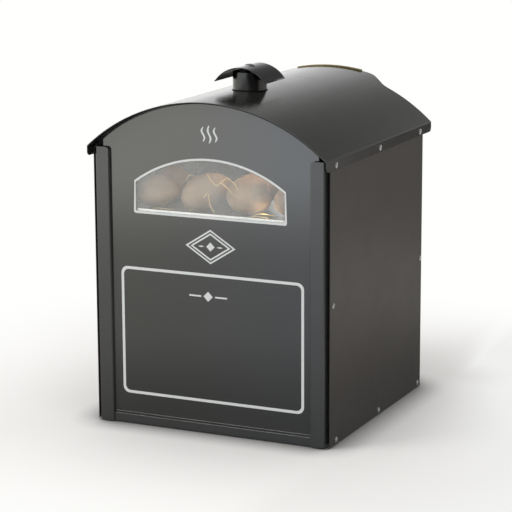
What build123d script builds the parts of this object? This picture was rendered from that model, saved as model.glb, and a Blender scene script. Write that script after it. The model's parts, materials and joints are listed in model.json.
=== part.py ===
from build123d import *
import os
from math import atan2, cos, hypot, pi, radians, sin, sqrt

# Baked potato oven: millimetres, +Z up. The customer's side faces -Y, the operator's side +Y.
# The origin is at the middle of the underside of the whole object.

# ------------------------------------------------------------------ driving sizes
# Sheets and gaps
SKIN = 1.5  # casing sheet
LINING = 1.2  # inner sheet
SEAT_GAP = 0.2  # between flat sheets that lie on each other
CURVE_GAP = 0.3  # between curved faces, and round a pipe or stem in its hole
RUNNING_GAP = 0.05  # round a pin or spindle that turns
MOVING_GAP = 0.4  # between a closed door and what it shuts against
BAR_SIDES = 12  # flat sides of a handle's bar or a hinge's barrel

# Casing. Heights are above the casing's lower edge, depths are behind the posts' front face.
FOOT_DROP = 2.5
ROOF_WIDTH = 510.6
CASE_WIDTH = ROOF_WIDTH - 2 * (SKIN + CURVE_GAP)  # the roof's flanges hang over the side panels
CASE_DEPTH = 499.0
SIDE_PANEL_SETBACK = 8.0
SIDE_RETURN = 15.0
FRAME_INSET = 8.5
FRAME_WIDTH = CASE_WIDTH - 2 * FRAME_INSET
POST_WIDTH = 30.0
POST_HEIGHT = 557.5
POST_TOP_ROUND = 9.0
POST_FOOT_ROUND = 5.0
POST_BEND = 3.0
RAIL_HEIGHT = 16.7
RAIL_SETBACK = 4.0
PANEL_SETBACK = 6.9
PANEL_THICKNESS = 4.0
PANEL_INSET = 14.5
PANEL_WIDTH = FRAME_WIDTH - 2 * PANEL_INSET
PANEL_TOP_GAP = 4.0
BULKHEAD_INSET = 16.0
BULKHEAD_HALF = FRAME_WIDTH / 2 - BULKHEAD_INSET
BULKHEAD_FOLD = 16.0
PAN_FLANGE = 18.0
FOOT_RADIUS = 19.0
FOOT_SIDES = 12
FOOT_INSET = 55.0

# Roof
VAULT_RADIUS = 379.6
ROOF_APEX = 658.8
ROOF_FLANGE = 20.0
ROOF_FOLD = 5.0
ROOF_FLANGE_CORNER = 9.0
ROOF_FRONT_LIP = 14.8
ROOF_REAR_EAVE = 543.0
ROOF_REAR_NECK = 549.5
VISOR_REACH = 603.0
VISOR_TIP_HALF = 100.0
VISOR_NECK_HALF = 146.0
VISOR_SWEEP = 30.0
TRIM_HALF = 74.0
TRIM_OVERLAP = 8.0
TRIM_SHEET = 1.2

# Window in the front panel
WINDOW_HALF = 159.8
WINDOW_SILL = 434.1
WINDOW_SHOULDER = 490.3
WINDOW_APEX = 542.5
WINDOW_CORNER = 3.0
WINDOW_LEDGE = 2.5

# Flue and cowl
FLUE_DEPTH = 194.5
FLUE_RADIUS = 34.0
FLUE_WALL = 1.5
FLUE_TAIL = 6.0
COWL_HALF = 55.4
COWL_SAGITTA = 29.1
COWL_RISE = 47.8
COWL_LENGTH = 93.6
COWL_CORNER = 4.0
BRIDGE_WIDTH = 14.0
BRIDGE_LEG = 14.0
COWL_SCREW_RADIUS = 2.5
COWL_SCREW_HEAD = 11.0
COWL_SCREW_DOME = 3.0
COWL_SCREW_SIDES = 12
COWL_SCREW_SLOPE = 65.0

# Casing screws
SCREW_HEAD_RADIUS = 5.8
SCREW_HEAD_HEIGHT = 2.6
SCREW_HEAD_SIDES = 8
SCREW_HEAD_SLOPE = 55.0
ROOF_SCREW_INSET = 31.0
ROOF_SCREW_REAR_INSET = 22.0
ROOF_SCREW_RISE = 8.4
FOOT_SCREW_INSET = 38.0
FOOT_SCREW_REAR_INSET = 17.0
FOOT_SCREW_HEIGHT = 8.3
WAIST_SCREW_INSET = 22.0
WAIST_SCREW_REAR_INSET = 9.0
WAIST_SCREW_HEIGHT = 277.5

# Display compartment
DISPLAY_FLOOR = 431.5
DISPLAY_LIP = 6.3
VAULT_AIR = 10.0
LAMP_OFFSET = 70.0
LAMP_DEPTH = 110.0
LAMP_RADIUS = 22.0
LAMP_BASE = 8.0
LAMP_DROP = 26.0
LAMP_SHOULDER = 4.0
LAMP_TAPER = 14.0
LAMP_SIDES = 12

# Oven
OVEN_PACKING = 35.5
OVEN_HALF = CASE_WIDTH / 2 - OVEN_PACKING
OVEN_FLOOR = 37.5
OVEN_CEILING = 331.5
OVEN_END = 60.0
MOUTH_LIP = 11.0
RUNNER = 12.0
RACK_HEIGHTS = (76.0, 160.0, 244.0)
RACK_BAR = 8.0
RACK_THICKNESS = 4.0
RACK_WIRE = 3.5
RACK_WIRES = 10
RACK_CORNER = 12.0
RACK_SIDE_GAP = 2.0
RACK_END_GAP = 18.0
ELEMENT_RADIUS = 4.0
ELEMENT_PITCH = 60.0
ELEMENT_SIDES = 8
ELEMENT_BEND_STEPS = 6
ELEMENT_PLATE = 2.0
ELEMENT_PLATE_HALF = 9.0
ELEMENT_REACH = 350.0
ELEMENT_TAIL = 25.0
LOWER_ELEMENT_RISE = 16.0
UPPER_ELEMENT_DROP = 11.0

# Operator's side
DOOR_MARGIN = 17.5
DOOR_HALF = CASE_WIDTH / 2 - DOOR_MARGIN
CONTROL_HALF = DOOR_HALF
CONTROL_LOW = 354.5
CONTROL_HIGH = 415.5
CONTROL_STAND = 13.0
CONTROL_CUT_INSET = 26.0
CONTROL_CUT_HALF = CONTROL_HALF - CONTROL_CUT_INSET
CONTROL_CUT_MARGIN = 8.0
HOUSING_DEPTH = 57.0
HOUSING_MARGIN = 3.0
DIAL_POSITIONS = (140.0, 50.0)
DIAL_BODY = 40.0
DIAL_BODY_DEPTH = 36.0
DIAL_BODY_CHAMFER = 6.0
DIAL_BUSH_RADIUS = 5.0
DIAL_BUSH_STAND = 4.0
SPINDLE_RADIUS = 3.0
SPINDLE_LENGTH = 40.0
SPINDLE_STAND = 18.0
SPINDLE_FLAT = 1.0
KNOB_RADIUS = 21.0
KNOB_HEIGHT = 22.0
KNOB_SKIRT = 3.0
KNOB_NECK_RADIUS = 15.0
KNOB_GRIP = 8.0
KNOB_GRIP_DEPTH = 9.0
KNOB_GRIP_RISE = 3.0
KNOB_GRIP_EDGE = 1.0
KNOB_SIDES = 14
KNOB_TAPER = 5.0
SWITCH_POSITIONS = (-30.0, -70.0)
SWITCH_WIDTH = 20.0
SWITCH_HEIGHT = 26.0
SWITCH_RIM = 2.4
SWITCH_BODY_DEPTH = 14.0
ROCKER_WIDTH = 13.0
ROCKER_HALF = 9.0
ROCKER_SIDE_GAP = 0.5
ROCKER_TIP = 5.5
ROCKER_WAIST = 4.0
ROCKER_HEEL = 3.0
ROCKER_TILT = 8.0
ROCKER_SET = 2.0
PILOT_POSITIONS = (95.0, -110.0)
PILOT_RADIUS = 6.0
PILOT_HEIGHT = 4.0
PILOT_TAPER = 25.0
PILOT_SIDES = 12
GLAND_INSET = 46.0
GLAND_POSITION = GLAND_INSET - CONTROL_HALF
GLAND_BORE = 4.75
GLAND_THREAD = 8.0
GLAND_FLATS = 22.0
GLAND_LENGTH = 30.0
GLAND_STAND = 18.0
GLAND_CAP_RADIUS = 10.0
GLAND_CAP_SIDES = 12

# Oven door
DOOR_LOW = 19.5
DOOR_HIGH = 350.5
DOOR_STAND = 6.0
DOOR_THICKNESS = 28.0
SEAL_MARGIN = 4.0
SEAL_WIDTH = 8.0
HANDLE_INSET = 31.0
HANDLE_X = DOOR_HALF - HANDLE_INSET
HANDLE_LOW = 140.0
HANDLE_HIGH = 280.0
HANDLE_REACH = 38.0
HANDLE_RADIUS = 6.0
HANDLE_POST = 5.0
HANDLE_OVERHANG = 12.0
HINGE_KNUCKLE = 6.0
HINGE_PIN = 3.0
HINGE_SPAN = 20.0
HINGE_LEAF = 3.0
DOOR_HINGE_HEIGHTS = (75.0, 295.0)
DOOR_HINGE_OFFSET = 7.0

# Display door
FLAP_MARGIN = 47.5
FLAP_HALF = CASE_WIDTH / 2 - FLAP_MARGIN
FLAP_LOW = 431.5
FLAP_SHOULDER = 532.5
FLAP_APEX = 613.5
FLAP_RAIL = 26.0
FLAP_REBATE = 6.0
FLAP_STAND = 2.7
FLAP_THICKNESS = 18.0
FLAP_GLASS = 4.0
FLAP_GLASS_SETBACK = 6.0
FLAP_HINGE_DROP = 7.0
FLAP_HINGES = (-120.0, 120.0)
FLAP_HINGE_SPAN = 15.0
FLAP_KNUCKLE = 5.0
FLAP_LEAF = 2.0
FLAP_PIN = 2.5
FLAP_HANDLE_HALF = 45.0
FLAP_HANDLE_REACH = 26.0
FLAP_HANDLE_RADIUS = 4.0
FLAP_HANDLE_POST = 3.0
FLAP_HANDLE_DROP = 4.0

# ------------------------------------------------------------------ places worked out from the sizes
FACE = -(VISOR_REACH + SEAT_GAP + TRIM_SHEET - ROOF_FRONT_LIP) / 2  # the posts' front face


def at_depth(depth):
    """Y of a depth behind the posts' front face."""
    return FACE + depth


def at_height(height):
    """Z of a height above the casing's lower edge."""
    return FOOT_DROP + height


SIDE = CASE_WIDTH / 2
SIDE_IN = SIDE - SKIN
POST_SIDE = FRAME_WIDTH / 2
CASE_REAR = at_depth(CASE_DEPTH)
PANEL_BACK = PANEL_SETBACK + PANEL_THICKNESS
BULKHEAD_FRONT = at_depth(PANEL_BACK + SEAT_GAP)
BULKHEAD_BACK = BULKHEAD_FRONT + SKIN
BULKHEAD_STEP = BULKHEAD_FRONT + BULKHEAD_FOLD
INNER_FRONT = BULKHEAD_STEP + SKIN + SEAT_GAP
FRAME_FACE = CASE_REAR - SKIN - SEAT_GAP  # rear frame's outer face
FRAME_BACK = FRAME_FACE - SKIN
INNER_REAR = FRAME_BACK - SEAT_GAP
PACKING_HALF = SIDE_IN - SEAT_GAP - SKIN - SEAT_GAP
VAULT_Z = at_height(ROOF_APEX) - VAULT_RADIUS
FLUE_Y = at_depth(FLUE_DEPTH)
FLOOR_TOP = at_height(DISPLAY_FLOOR)
FLOOR_UNDER = FLOOR_TOP - LINING
OVEN_LOW = at_height(OVEN_FLOOR)
OVEN_HIGH = at_height(OVEN_CEILING)
OVEN_BACK = at_depth(OVEN_END)
OVEN_WALL = OVEN_HALF + LINING
HOUSING_FRONT = INNER_REAR - HOUSING_DEPTH
HOUSING_LOW = at_height(CONTROL_LOW) - HOUSING_MARGIN
HOUSING_HIGH = at_height(CONTROL_HIGH) + HOUSING_MARGIN
CONTROL_FACE = FRAME_FACE + SEAT_GAP + CONTROL_STAND
CONTROL_Z = at_height((CONTROL_LOW + CONTROL_HIGH) / 2)
DOOR_INNER = FRAME_FACE + DOOR_STAND
DOOR_OUTER = DOOR_INNER + DOOR_THICKNESS
FLAP_INNER = FRAME_FACE + FLAP_STAND
FLAP_OUTER = FLAP_INNER + FLAP_THICKNESS
DOOR_HINGE_X = DOOR_HALF + DOOR_HINGE_OFFSET
DOOR_HINGE_Y = DOOR_OUTER - DOOR_HINGE_OFFSET
FLAP_HINGE_Y = FLAP_OUTER - FLAP_KNUCKLE
FLAP_HINGE_Z = at_height(FLAP_LOW) - FLAP_HINGE_DROP


# ------------------------------------------------------------------ shape helpers
def block(x, y, z):
    """A box between a low and a high value on each axis."""
    middle = [(low + high) / 2 for low, high in (x, y, z)]
    return Pos(*middle) * Box(*[high - low for low, high in (x, y, z)])


def both(half):
    """-half and half, as a span or as two places."""
    return (-half, half)


def from_front(outline, y):
    """An (x, z) outline made solid between two depths."""
    return extrude(Plane.XZ.offset(-y[1]) * outline, y[1] - y[0])


def from_side(outline, x):
    """A (y, z) outline made solid between two values of x."""
    return extrude(Plane.YZ.offset(x[0]) * outline, x[1] - x[0])


def from_above(outline, z):
    """An (x, y) outline made solid between two heights."""
    return extrude(Pos(0, 0, z[0]) * outline, z[1] - z[0])


def polygon(*points):
    return make_face(Polyline(*points, close=True))


def rectangle(first, second):
    """A rectangle between a low and a high value on each of the outline's axes."""
    width, height = first[1] - first[0], second[1] - second[0]
    return Pos((first[0] + first[1]) / 2, (second[0] + second[1]) / 2) * Rectangle(width, height)


def arched(half, low, shoulder, apex):
    """An outline with a flat sill, upright sides and an arc on top."""
    sides = Polyline((-half, shoulder), (-half, low), (half, low), (half, shoulder))
    return make_face(sides + ThreePointArc((half, shoulder), (0, apex), (-half, shoulder)))


def vault_height(half, inset):
    """Height of the roof's arc, set in by some distance, at half the width."""
    return VAULT_Z + sqrt((VAULT_RADIUS - inset) ** 2 - half**2)


def under_vault(half, low, inset):
    """An upright outline whose top follows the roof's arc."""
    return arched(half, low, vault_height(half, inset), VAULT_Z + VAULT_RADIUS - inset)


def along_y(radius, x, z, y, sides=0):
    """A bar along Y, round or with a number of flat sides."""
    return from_front(Pos(x, z) * section(radius, sides), y)


def along_x(radius, y, z, x, sides=0):
    """A bar along X, round or with a number of flat sides."""
    return from_side(Pos(y, z) * section(radius, sides), x)


def along_z(radius, x, y, z, sides=0):
    """A bar along Z, round or with a number of flat sides."""
    return from_above(Pos(x, y) * section(radius, sides), z)


def section(radius, sides):
    return RegularPolygon(radius, sides) if sides else Circle(radius)


def mirrored(shape):
    """The same piece for the other side."""
    return mirror(shape, Plane.YZ)


def pair(shape):
    return Compound(children=[shape, mirrored(shape)])


def group(shapes):
    return Compound(children=list(shapes))


def screw_places():
    """(y, z, x of the face that the head lies on) for each screw on the right-hand side."""
    front, rear = at_depth(ROOF_SCREW_INSET), CASE_REAR - ROOF_SCREW_REAR_INSET
    roof_row = [(y, flange_low() + ROOF_SCREW_RISE, ROOF_WIDTH / 2) for y in (front, (front + rear) / 2, rear)]
    front, rear = at_depth(FOOT_SCREW_INSET), CASE_REAR - FOOT_SCREW_REAR_INSET
    foot_row = [(y, at_height(FOOT_SCREW_HEIGHT), SIDE) for y in (front, (front + rear) / 2, rear)]
    front, rear = at_depth(WAIST_SCREW_INSET), CASE_REAR - WAIST_SCREW_REAR_INSET
    waist_row = [(y, at_height(WAIST_SCREW_HEIGHT), SIDE) for y in (front, rear)]
    return roof_row + foot_row + waist_row


def flange_low():
    """Height of the lower edge of the roof's side flanges."""
    return vault_height(ROOF_WIDTH / 2, 0) - ROOF_FLANGE


# ------------------------------------------------------------------ casing
def base_pan():
    low = FOOT_DROP
    x, y = both(SIDE_IN - SEAT_GAP), (INNER_FRONT, INNER_REAR)
    tray = block(x, y, (low, low + PAN_FLANGE))
    inner_x, inner_y = both(x[1] - SKIN), (y[0] + SKIN, y[1] - SKIN)
    return tray - block(inner_x, inner_y, (low + SKIN, low + PAN_FLANGE + 1))


def feet():
    """Rubber pads under the pan."""
    across, along = SIDE - FOOT_INSET, (FACE + FOOT_INSET, CASE_REAR - FOOT_INSET)
    pad = RegularPolygon(FOOT_RADIUS, FOOT_SIDES)
    return group(
        from_above(Pos(x, y) * pad, (0, FOOT_DROP - SEAT_GAP)) for x in (-across, across) for y in along
    )


def side_panel():
    """Right-hand panel: hemmed at the front, returned inwards at the rear."""
    z = (FOOT_DROP, vault_height(SIDE_IN, SKIN) - ROOF_FOLD)
    front = at_depth(SIDE_PANEL_SETBACK)
    skin = block((SIDE_IN, SIDE), (front, CASE_REAR), z)
    rear = block((SIDE - SIDE_RETURN, SIDE), (CASE_REAR - SKIN, CASE_REAR), z)
    return skin + rear


def front_post():
    """Right-hand post: a channel that stands proud of the panel and reaches back to the bulkhead."""
    low, high = FOOT_DROP, at_height(POST_HEIGHT)
    inner, outer = POST_SIDE - POST_WIDTH, POST_SIDE
    back, panel = BULKHEAD_STEP - SEAT_GAP, at_depth(PANEL_SETBACK) - SEAT_GAP
    plan = polygon(
        (inner, panel), (inner, FACE), (outer, FACE), (outer, back),
        (outer - SKIN, back), (outer - SKIN, FACE + SKIN), (inner + SKIN, FACE + SKIN), (inner + SKIN, panel),
    )
    bends = plan.vertices().filter_by(lambda v: v.Y < FACE + 0.01)
    channel = from_above(fillet(bends, POST_BEND), (low, high))
    front = rectangle((inner, outer), (low, high))
    corner = front.vertices()
    front = fillet(corner.filter_by(lambda v: v.X < inner + 1 and v.Y > high - 1), POST_TOP_ROUND)
    front = fillet(front.vertices().filter_by(lambda v: v.X > outer - 1 and v.Y < low + 1), POST_FOOT_ROUND)
    return channel & from_front(front, (FACE - 1, back + 1))


def front_rail():
    """J-shaped rail that the panel's lower edge stands in."""
    low, lip = FOOT_DROP, at_depth(RAIL_SETBACK)
    x = both(POST_SIDE - POST_WIDTH - SEAT_GAP)
    back = BULKHEAD_FRONT - SEAT_GAP
    upright = block(x, (lip, lip + SKIN), (low, at_height(RAIL_HEIGHT)))
    return upright + block(x, (lip, back), (low, low + SKIN))


def window_outline(margin):
    """The window's outline, grown by a margin."""
    apex = at_height(WINDOW_APEX) + margin
    face = arched(WINDOW_HALF + margin, at_height(WINDOW_SILL) - margin, at_height(WINDOW_SHOULDER), apex)
    sill = face.vertices().filter_by(lambda v: v.Y < at_height(WINDOW_SHOULDER) - 1)
    return fillet(sill, WINDOW_CORNER)


def front_panel():
    inset = SKIN + PANEL_TOP_GAP
    low = FOOT_DROP + SKIN + SEAT_GAP
    face = under_vault(PANEL_WIDTH / 2, low, inset) - window_outline(0)
    return from_front(face, (at_depth(PANEL_SETBACK), at_depth(PANEL_BACK)))


def window_glass():
    face = window_outline(-CURVE_GAP)
    return from_front(face, (at_depth(PANEL_SETBACK), at_depth(PANEL_BACK)))


def bulkhead_opening():
    """The window's outline, less a ledge for the glass at the top and sides."""
    side = rectangle(both(WINDOW_HALF - WINDOW_LEDGE), (at_height(WINDOW_SILL), at_height(WINDOW_SHOULDER)))
    return window_outline(-WINDOW_LEDGE) + side


def front_bulkhead():
    """Folded sheet behind the panel, stepped back at both sides, with the window cut through it."""
    edge, wall = BULKHEAD_HALF, SIDE_IN - SEAT_GAP
    step, lip = BULKHEAD_STEP, BULKHEAD_STEP - SIDE_RETURN + SKIN
    right = [
        (edge, BULKHEAD_FRONT), (edge, step), (wall - SKIN, step), (wall - SKIN, lip), (wall, lip),
        (wall, step + SKIN), (edge - SKIN, step + SKIN), (edge - SKIN, BULKHEAD_BACK),
    ]
    plan = polygon(*right, *[(-x, y) for x, y in reversed(right)])
    height = vault_height(0, SKIN + CURVE_GAP)
    sheet = from_above(plan, (FOOT_DROP, height + 1))
    sheet &= from_front(under_vault(wall, FOOT_DROP, SKIN + CURVE_GAP), (BULKHEAD_FRONT - 1, step + SKIN + 1))
    return sheet - from_front(bulkhead_opening(), (BULKHEAD_FRONT - 1, BULKHEAD_BACK + 1))


def flap_outline(margin):
    """The display door's outline, shrunk by a margin."""
    face = arched(FLAP_HALF, at_height(FLAP_LOW), at_height(FLAP_SHOULDER), at_height(FLAP_APEX))
    return offset(face, amount=-margin, kind=Kind.INTERSECTION) if margin else face


def rear_frame():
    """Sheet round the oven's mouth, the controls and the display opening, with side returns."""
    wall = SIDE_IN - SEAT_GAP
    face = under_vault(wall, FOOT_DROP, SKIN + CURVE_GAP)
    face -= rectangle(both(OVEN_HALF), (OVEN_LOW, OVEN_HIGH))
    control = (at_height(CONTROL_LOW) + CONTROL_CUT_MARGIN, at_height(CONTROL_HIGH) - CONTROL_CUT_MARGIN)
    face -= rectangle(both(CONTROL_CUT_HALF), control)
    face -= flap_outline(FLAP_RAIL - WINDOW_LEDGE)
    sheet = from_front(face, (FRAME_BACK, FRAME_FACE))
    lip = block((wall - SKIN, wall), (FRAME_BACK - SIDE_RETURN, FRAME_FACE), (pan_top(), FLOOR_UNDER - SEAT_GAP))
    return sheet + lip + mirrored(lip)


def pan_top():
    return FOOT_DROP + PAN_FLANGE + SEAT_GAP


# ------------------------------------------------------------------ roof, flue and screws
def roof():
    """Vaulted sheet with a side flange at each eave and a visor over the operator's side."""
    half, low = ROOF_WIDTH / 2, flange_low()
    outer, inner = under_vault(half, low, 0), under_vault(half - SKIN, low, SKIN)
    outer = fillet(outer.vertices().filter_by(lambda v: v.Y > low + 1), ROOF_FOLD)
    inner = fillet(inner.vertices().filter_by(lambda v: v.Y > low + 1), ROOF_FOLD - SKIN)
    sheet = from_front(outer - inner, (at_depth(-ROOF_FRONT_LIP), at_depth(VISOR_REACH)))
    sheet &= from_above(roof_plan(), (low - 1, VAULT_Z + VAULT_RADIUS + 1))
    ends = sheet.edges().filter_by(lambda e: e.center().Z < low + 0.01 and e.length < 2 * SKIN)
    sheet = fillet(ends, ROOF_FLANGE_CORNER)
    top = VAULT_Z + VAULT_RADIUS
    return sheet - along_z(FLUE_RADIUS + CURVE_GAP, 0, FLUE_Y, (top - VAULT_AIR, top + 1))


def roof_plan():
    half = ROOF_WIDTH / 2 + 1
    front, eave = at_depth(-ROOF_FRONT_LIP) - 1, at_depth(ROOF_REAR_EAVE)
    neck, tip = at_depth(ROOF_REAR_NECK), at_depth(VISOR_REACH)
    right = [(half, front), (half, eave), (VISOR_NECK_HALF, neck), (VISOR_TIP_HALF, tip)]
    plan = polygon(*right, *[(-x, y) for x, y in reversed(right)])
    return fillet(plan.vertices().filter_by(lambda v: v.Y > eave + 1), VISOR_SWEEP)


def visor_trim():
    """Channel-shaped edge strip on the middle of the visor."""
    rear = at_depth(VISOR_REACH)
    top, under = -SEAT_GAP, SKIN + SEAT_GAP
    low = VAULT_Z
    outer = under_vault(TRIM_HALF, low, top - TRIM_SHEET) - under_vault(TRIM_HALF, low, under + TRIM_SHEET)
    slot = under_vault(TRIM_HALF, low, top) - under_vault(TRIM_HALF, low, under)
    channel = from_front(outer, (rear - TRIM_OVERLAP, rear + SEAT_GAP + TRIM_SHEET))
    return channel - from_front(slot, (rear - TRIM_OVERLAP - 1, rear + SEAT_GAP))


def casing_screws():
    """Raised screw heads along the side panels and the roof's flanges."""
    outline = RegularPolygon(SCREW_HEAD_RADIUS, SCREW_HEAD_SIDES)
    rim = SCREW_HEAD_HEIGHT / 2
    crown = extrude(Pos(0, 0, rim) * outline, SCREW_HEAD_HEIGHT - rim, taper=SCREW_HEAD_SLOPE)
    head = extrude(outline, rim) + crown
    heads = [Pos(face + SEAT_GAP, y, z) * Rot(0, 90, 0) * head for y, z, face in screw_places()]
    return group([*heads, *[mirrored(one) for one in heads]])


def cowl_radius():
    return (COWL_HALF**2 + COWL_SAGITTA**2) / (2 * COWL_SAGITTA)


def cowl_top():
    return at_height(ROOF_APEX) + COWL_RISE


def cowl_outline(inset):
    """Disc of the cowl's arc, set in by some distance."""
    return Pos(0, cowl_top() - cowl_radius()) * Circle(cowl_radius() - inset)


def pipe_top():
    drop = cowl_radius() - sqrt((cowl_radius() - SKIN) ** 2 - FLUE_RADIUS**2)
    return cowl_top() - drop - CURVE_GAP


def cowl():
    """Arched sheet that sits over the pipe, open at its front and rear ends."""
    tips = cowl_top() - COWL_SAGITTA
    y = (FLUE_Y - COWL_LENGTH / 2, FLUE_Y + COWL_LENGTH / 2)
    face = cowl_outline(0) - cowl_outline(SKIN)
    face &= rectangle(both(COWL_HALF), (tips, cowl_top() + 1))
    sheet = from_front(face, y)
    plan = rectangle(both(COWL_HALF), y)
    sheet &= from_above(fillet(plan.vertices(), COWL_CORNER), (tips - 1, cowl_top() + 1))
    return sheet - along_z(COWL_SCREW_RADIUS + CURVE_GAP, 0, FLUE_Y, (tips, cowl_top() + 1))


def flue_pipe():
    """Pipe through the roof, with a tail in the display compartment."""
    low, high = VAULT_Z + VAULT_RADIUS - SKIN - VAULT_AIR - FLUE_TAIL, pipe_top()
    bore = along_z(FLUE_RADIUS - FLUE_WALL, 0, FLUE_Y, (low - 1, high + 1))
    return along_z(FLUE_RADIUS, 0, FLUE_Y, (low, high)) - bore


def cowl_bridge():
    """Hat-shaped strap in the pipe's mouth that the cowl is screwed to."""
    reach = sqrt((FLUE_RADIUS - FLUE_WALL) ** 2 - (BRIDGE_WIDTH / 2) ** 2) - CURVE_GAP
    high = cowl_top() - cowl_radius() + sqrt((cowl_radius() - SKIN) ** 2 - (BRIDGE_WIDTH / 2) ** 2) - CURVE_GAP
    low = pipe_top() - BRIDGE_LEG
    x = both(BRIDGE_WIDTH / 2)
    strap = block(x, (FLUE_Y - reach, FLUE_Y + reach), (low, high))
    strap -= block(x, (FLUE_Y - reach + SKIN, FLUE_Y + reach - SKIN), (low, high - SKIN))
    return strap - along_z(COWL_SCREW_RADIUS + CURVE_GAP, 0, FLUE_Y, (low, high + 1))


def cowl_screw():
    """Low domed head over the cowl, with its shank through the cowl and the bridge."""
    seat = cowl_top() + SEAT_GAP
    tail = seat - SKIN - BRIDGE_LEG / 2
    outline = Pos(0, 0, seat) * RegularPolygon(COWL_SCREW_HEAD, COWL_SCREW_SIDES)
    head = extrude(outline, COWL_SCREW_DOME, taper=COWL_SCREW_SLOPE)
    shank = along_z(COWL_SCREW_RADIUS, 0, 0, (tail, seat + COWL_SCREW_DOME / 2))
    return Pos(0, FLUE_Y, 0) * (head + shank)


# ------------------------------------------------------------------ display compartment
def display_floor():
    """Sheet that the potatoes lie on, with a bright upstand along the window's sill."""
    narrow, wide = BULKHEAD_HALF - SKIN - SEAT_GAP, SIDE_IN - 2 * SEAT_GAP
    front = BULKHEAD_BACK + SEAT_GAP
    plan = polygon(
        (-narrow, front), (narrow, front), (narrow, INNER_FRONT), (wide, INNER_FRONT),
        (wide, INNER_REAR), (-wide, INNER_REAR), (-wide, INNER_FRONT), (-narrow, INNER_FRONT),
    )
    lip = block(both(narrow), (front, front + LINING), (FLOOR_UNDER, FLOOR_TOP + DISPLAY_LIP))
    return from_above(plan, (FLOOR_UNDER, FLOOR_TOP)) + lip


def display_liner():
    """Bright inner walls and vault of the display compartment, pierced for the flue."""
    half, low = SIDE_IN - 2 * SEAT_GAP, FLOOR_TOP + SEAT_GAP
    inset = SKIN + VAULT_AIR
    face = under_vault(half, low, inset) - under_vault(half - LINING, low, inset + LINING)
    sheet = from_front(face, (INNER_FRONT, INNER_REAR))
    span = (VAULT_Z, VAULT_Z + VAULT_RADIUS)
    return sheet - along_z(FLUE_RADIUS + CURVE_GAP, 0, FLUE_Y, span)


def lamp_ceiling():
    """Lowest point of the liner round the lamp."""
    return vault_height(LAMP_OFFSET + LAMP_RADIUS, SKIN + VAULT_AIR + LINING) - CURVE_GAP


def lamp_holder():
    """Ceramic holder under the liner."""
    high = lamp_ceiling()
    return from_above(lamp_outline(LAMP_RADIUS), (high - LAMP_BASE, high))


def lamp():
    """Tapered lamp glass under the holder."""
    top = lamp_ceiling() - LAMP_BASE - SEAT_GAP
    glass = extrude(lamp_outline(LAMP_RADIUS - LAMP_SHOULDER), LAMP_DROP, taper=LAMP_TAPER)
    return Pos(0, 0, top) * mirror(glass, about=Plane.XY)


def lamp_outline(radius):
    return Pos(LAMP_OFFSET, at_depth(LAMP_DEPTH)) * RegularPolygon(radius, LAMP_SIDES)


# One baked potato to a line: length, girth, place (x, depth), then the turn about the upright axis and the
# tilt of its nose, in degrees.
POTATOES = (
    (98, 66, (-150, 64), 8, 0),
    (92, 66, (-58, 132), 60, 0),
    (104, 68, (-42, 60), 8, 30),
    (98, 76, (53, 66), -6, 0),
    (92, 68, (147, 74), 70, 0),
    (94, 68, (-160, 156), 80, 0),
    (96, 66, (26, 152), 20, 0),
    (92, 64, (122, 166), 35, 0),
)
POTATO_LONG_END = 0.56
POTATO_SIDES = 9
POTATO_BANDS = (-0.96, -0.7, 0.0, 0.7, 0.96)


def potato(length, girth, place, turn, tilt):
    """A many-sided body, fuller at one end, laid on the display floor."""
    rings = []
    for band in POTATO_BANDS:
        reach = length * (POTATO_LONG_END if band > 0 else 1 - POTATO_LONG_END)
        rings.append(ring(reach * band, girth / 2 * sqrt(1 - band**2)))
    body = Rot(0, 0, turn) * Rot(0, -tilt, 0) * ringed(rings)
    x, depth = place
    return Pos(x, at_depth(depth), FLOOR_TOP + CURVE_GAP - body.bounding_box().min.Z) * body


def ring(x, radius):
    """Corners of a regular polygon across the x axis, flat side down."""
    angles = [2 * pi * (i + 0.5) / POTATO_SIDES for i in range(POTATO_SIDES)]
    return [(x, radius * sin(angle), radius * cos(angle)) for angle in angles]


def ringed(rings):
    """A solid with flat faces from ring to ring and a flat cap at each end."""
    outlines = [rings[0], rings[-1]]
    for near, far in zip(rings, rings[1:]):
        for i in range(len(near)):
            outlines.append([near[i - 1], near[i], far[i], far[i - 1]])
    return Solid(Shell([Face(Wire.make_polygon(outline)) for outline in outlines]))


def display_potatoes():
    return group(potato(*one) for one in POTATOES)


# ------------------------------------------------------------------ oven cavity
def oven_liner_floor():
    return block(both(OVEN_WALL), (OVEN_BACK - LINING, INNER_REAR), (OVEN_LOW - LINING, OVEN_LOW))


def oven_liner_ceiling():
    return block(both(OVEN_WALL), (OVEN_BACK - LINING, INNER_REAR), (OVEN_HIGH, OVEN_HIGH + LINING))


def wall_span():
    return (OVEN_LOW + SEAT_GAP, OVEN_HIGH - SEAT_GAP)


def oven_liner_end():
    """End wall on the customer's side, which carries the heating elements."""
    return block(both(OVEN_WALL), (OVEN_BACK - LINING, OVEN_BACK), wall_span())


def oven_liner_sides():
    """Two side walls, each with a lip against the rear frame."""
    y = (OVEN_BACK + SEAT_GAP, INNER_REAR)
    wall = block((OVEN_HALF, OVEN_WALL), y, wall_span())
    lip = block((OVEN_HALF, OVEN_WALL + MOUTH_LIP), (INNER_REAR - LINING, INNER_REAR), wall_span())
    return pair(wall + lip)


def insulation_bottom():
    z = (FOOT_DROP + SKIN + SEAT_GAP, OVEN_LOW - LINING - SEAT_GAP)
    return block(both(PACKING_HALF), (INNER_FRONT + SKIN + SEAT_GAP, INNER_REAR - SKIN - SEAT_GAP), z)


def insulation_sides():
    y = (INNER_FRONT + SKIN + SEAT_GAP, INNER_REAR - LINING - SEAT_GAP)
    z = (OVEN_LOW - LINING, OVEN_HIGH + LINING)
    return pair(block((OVEN_WALL + SEAT_GAP, PACKING_HALF), y, z))


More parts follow.
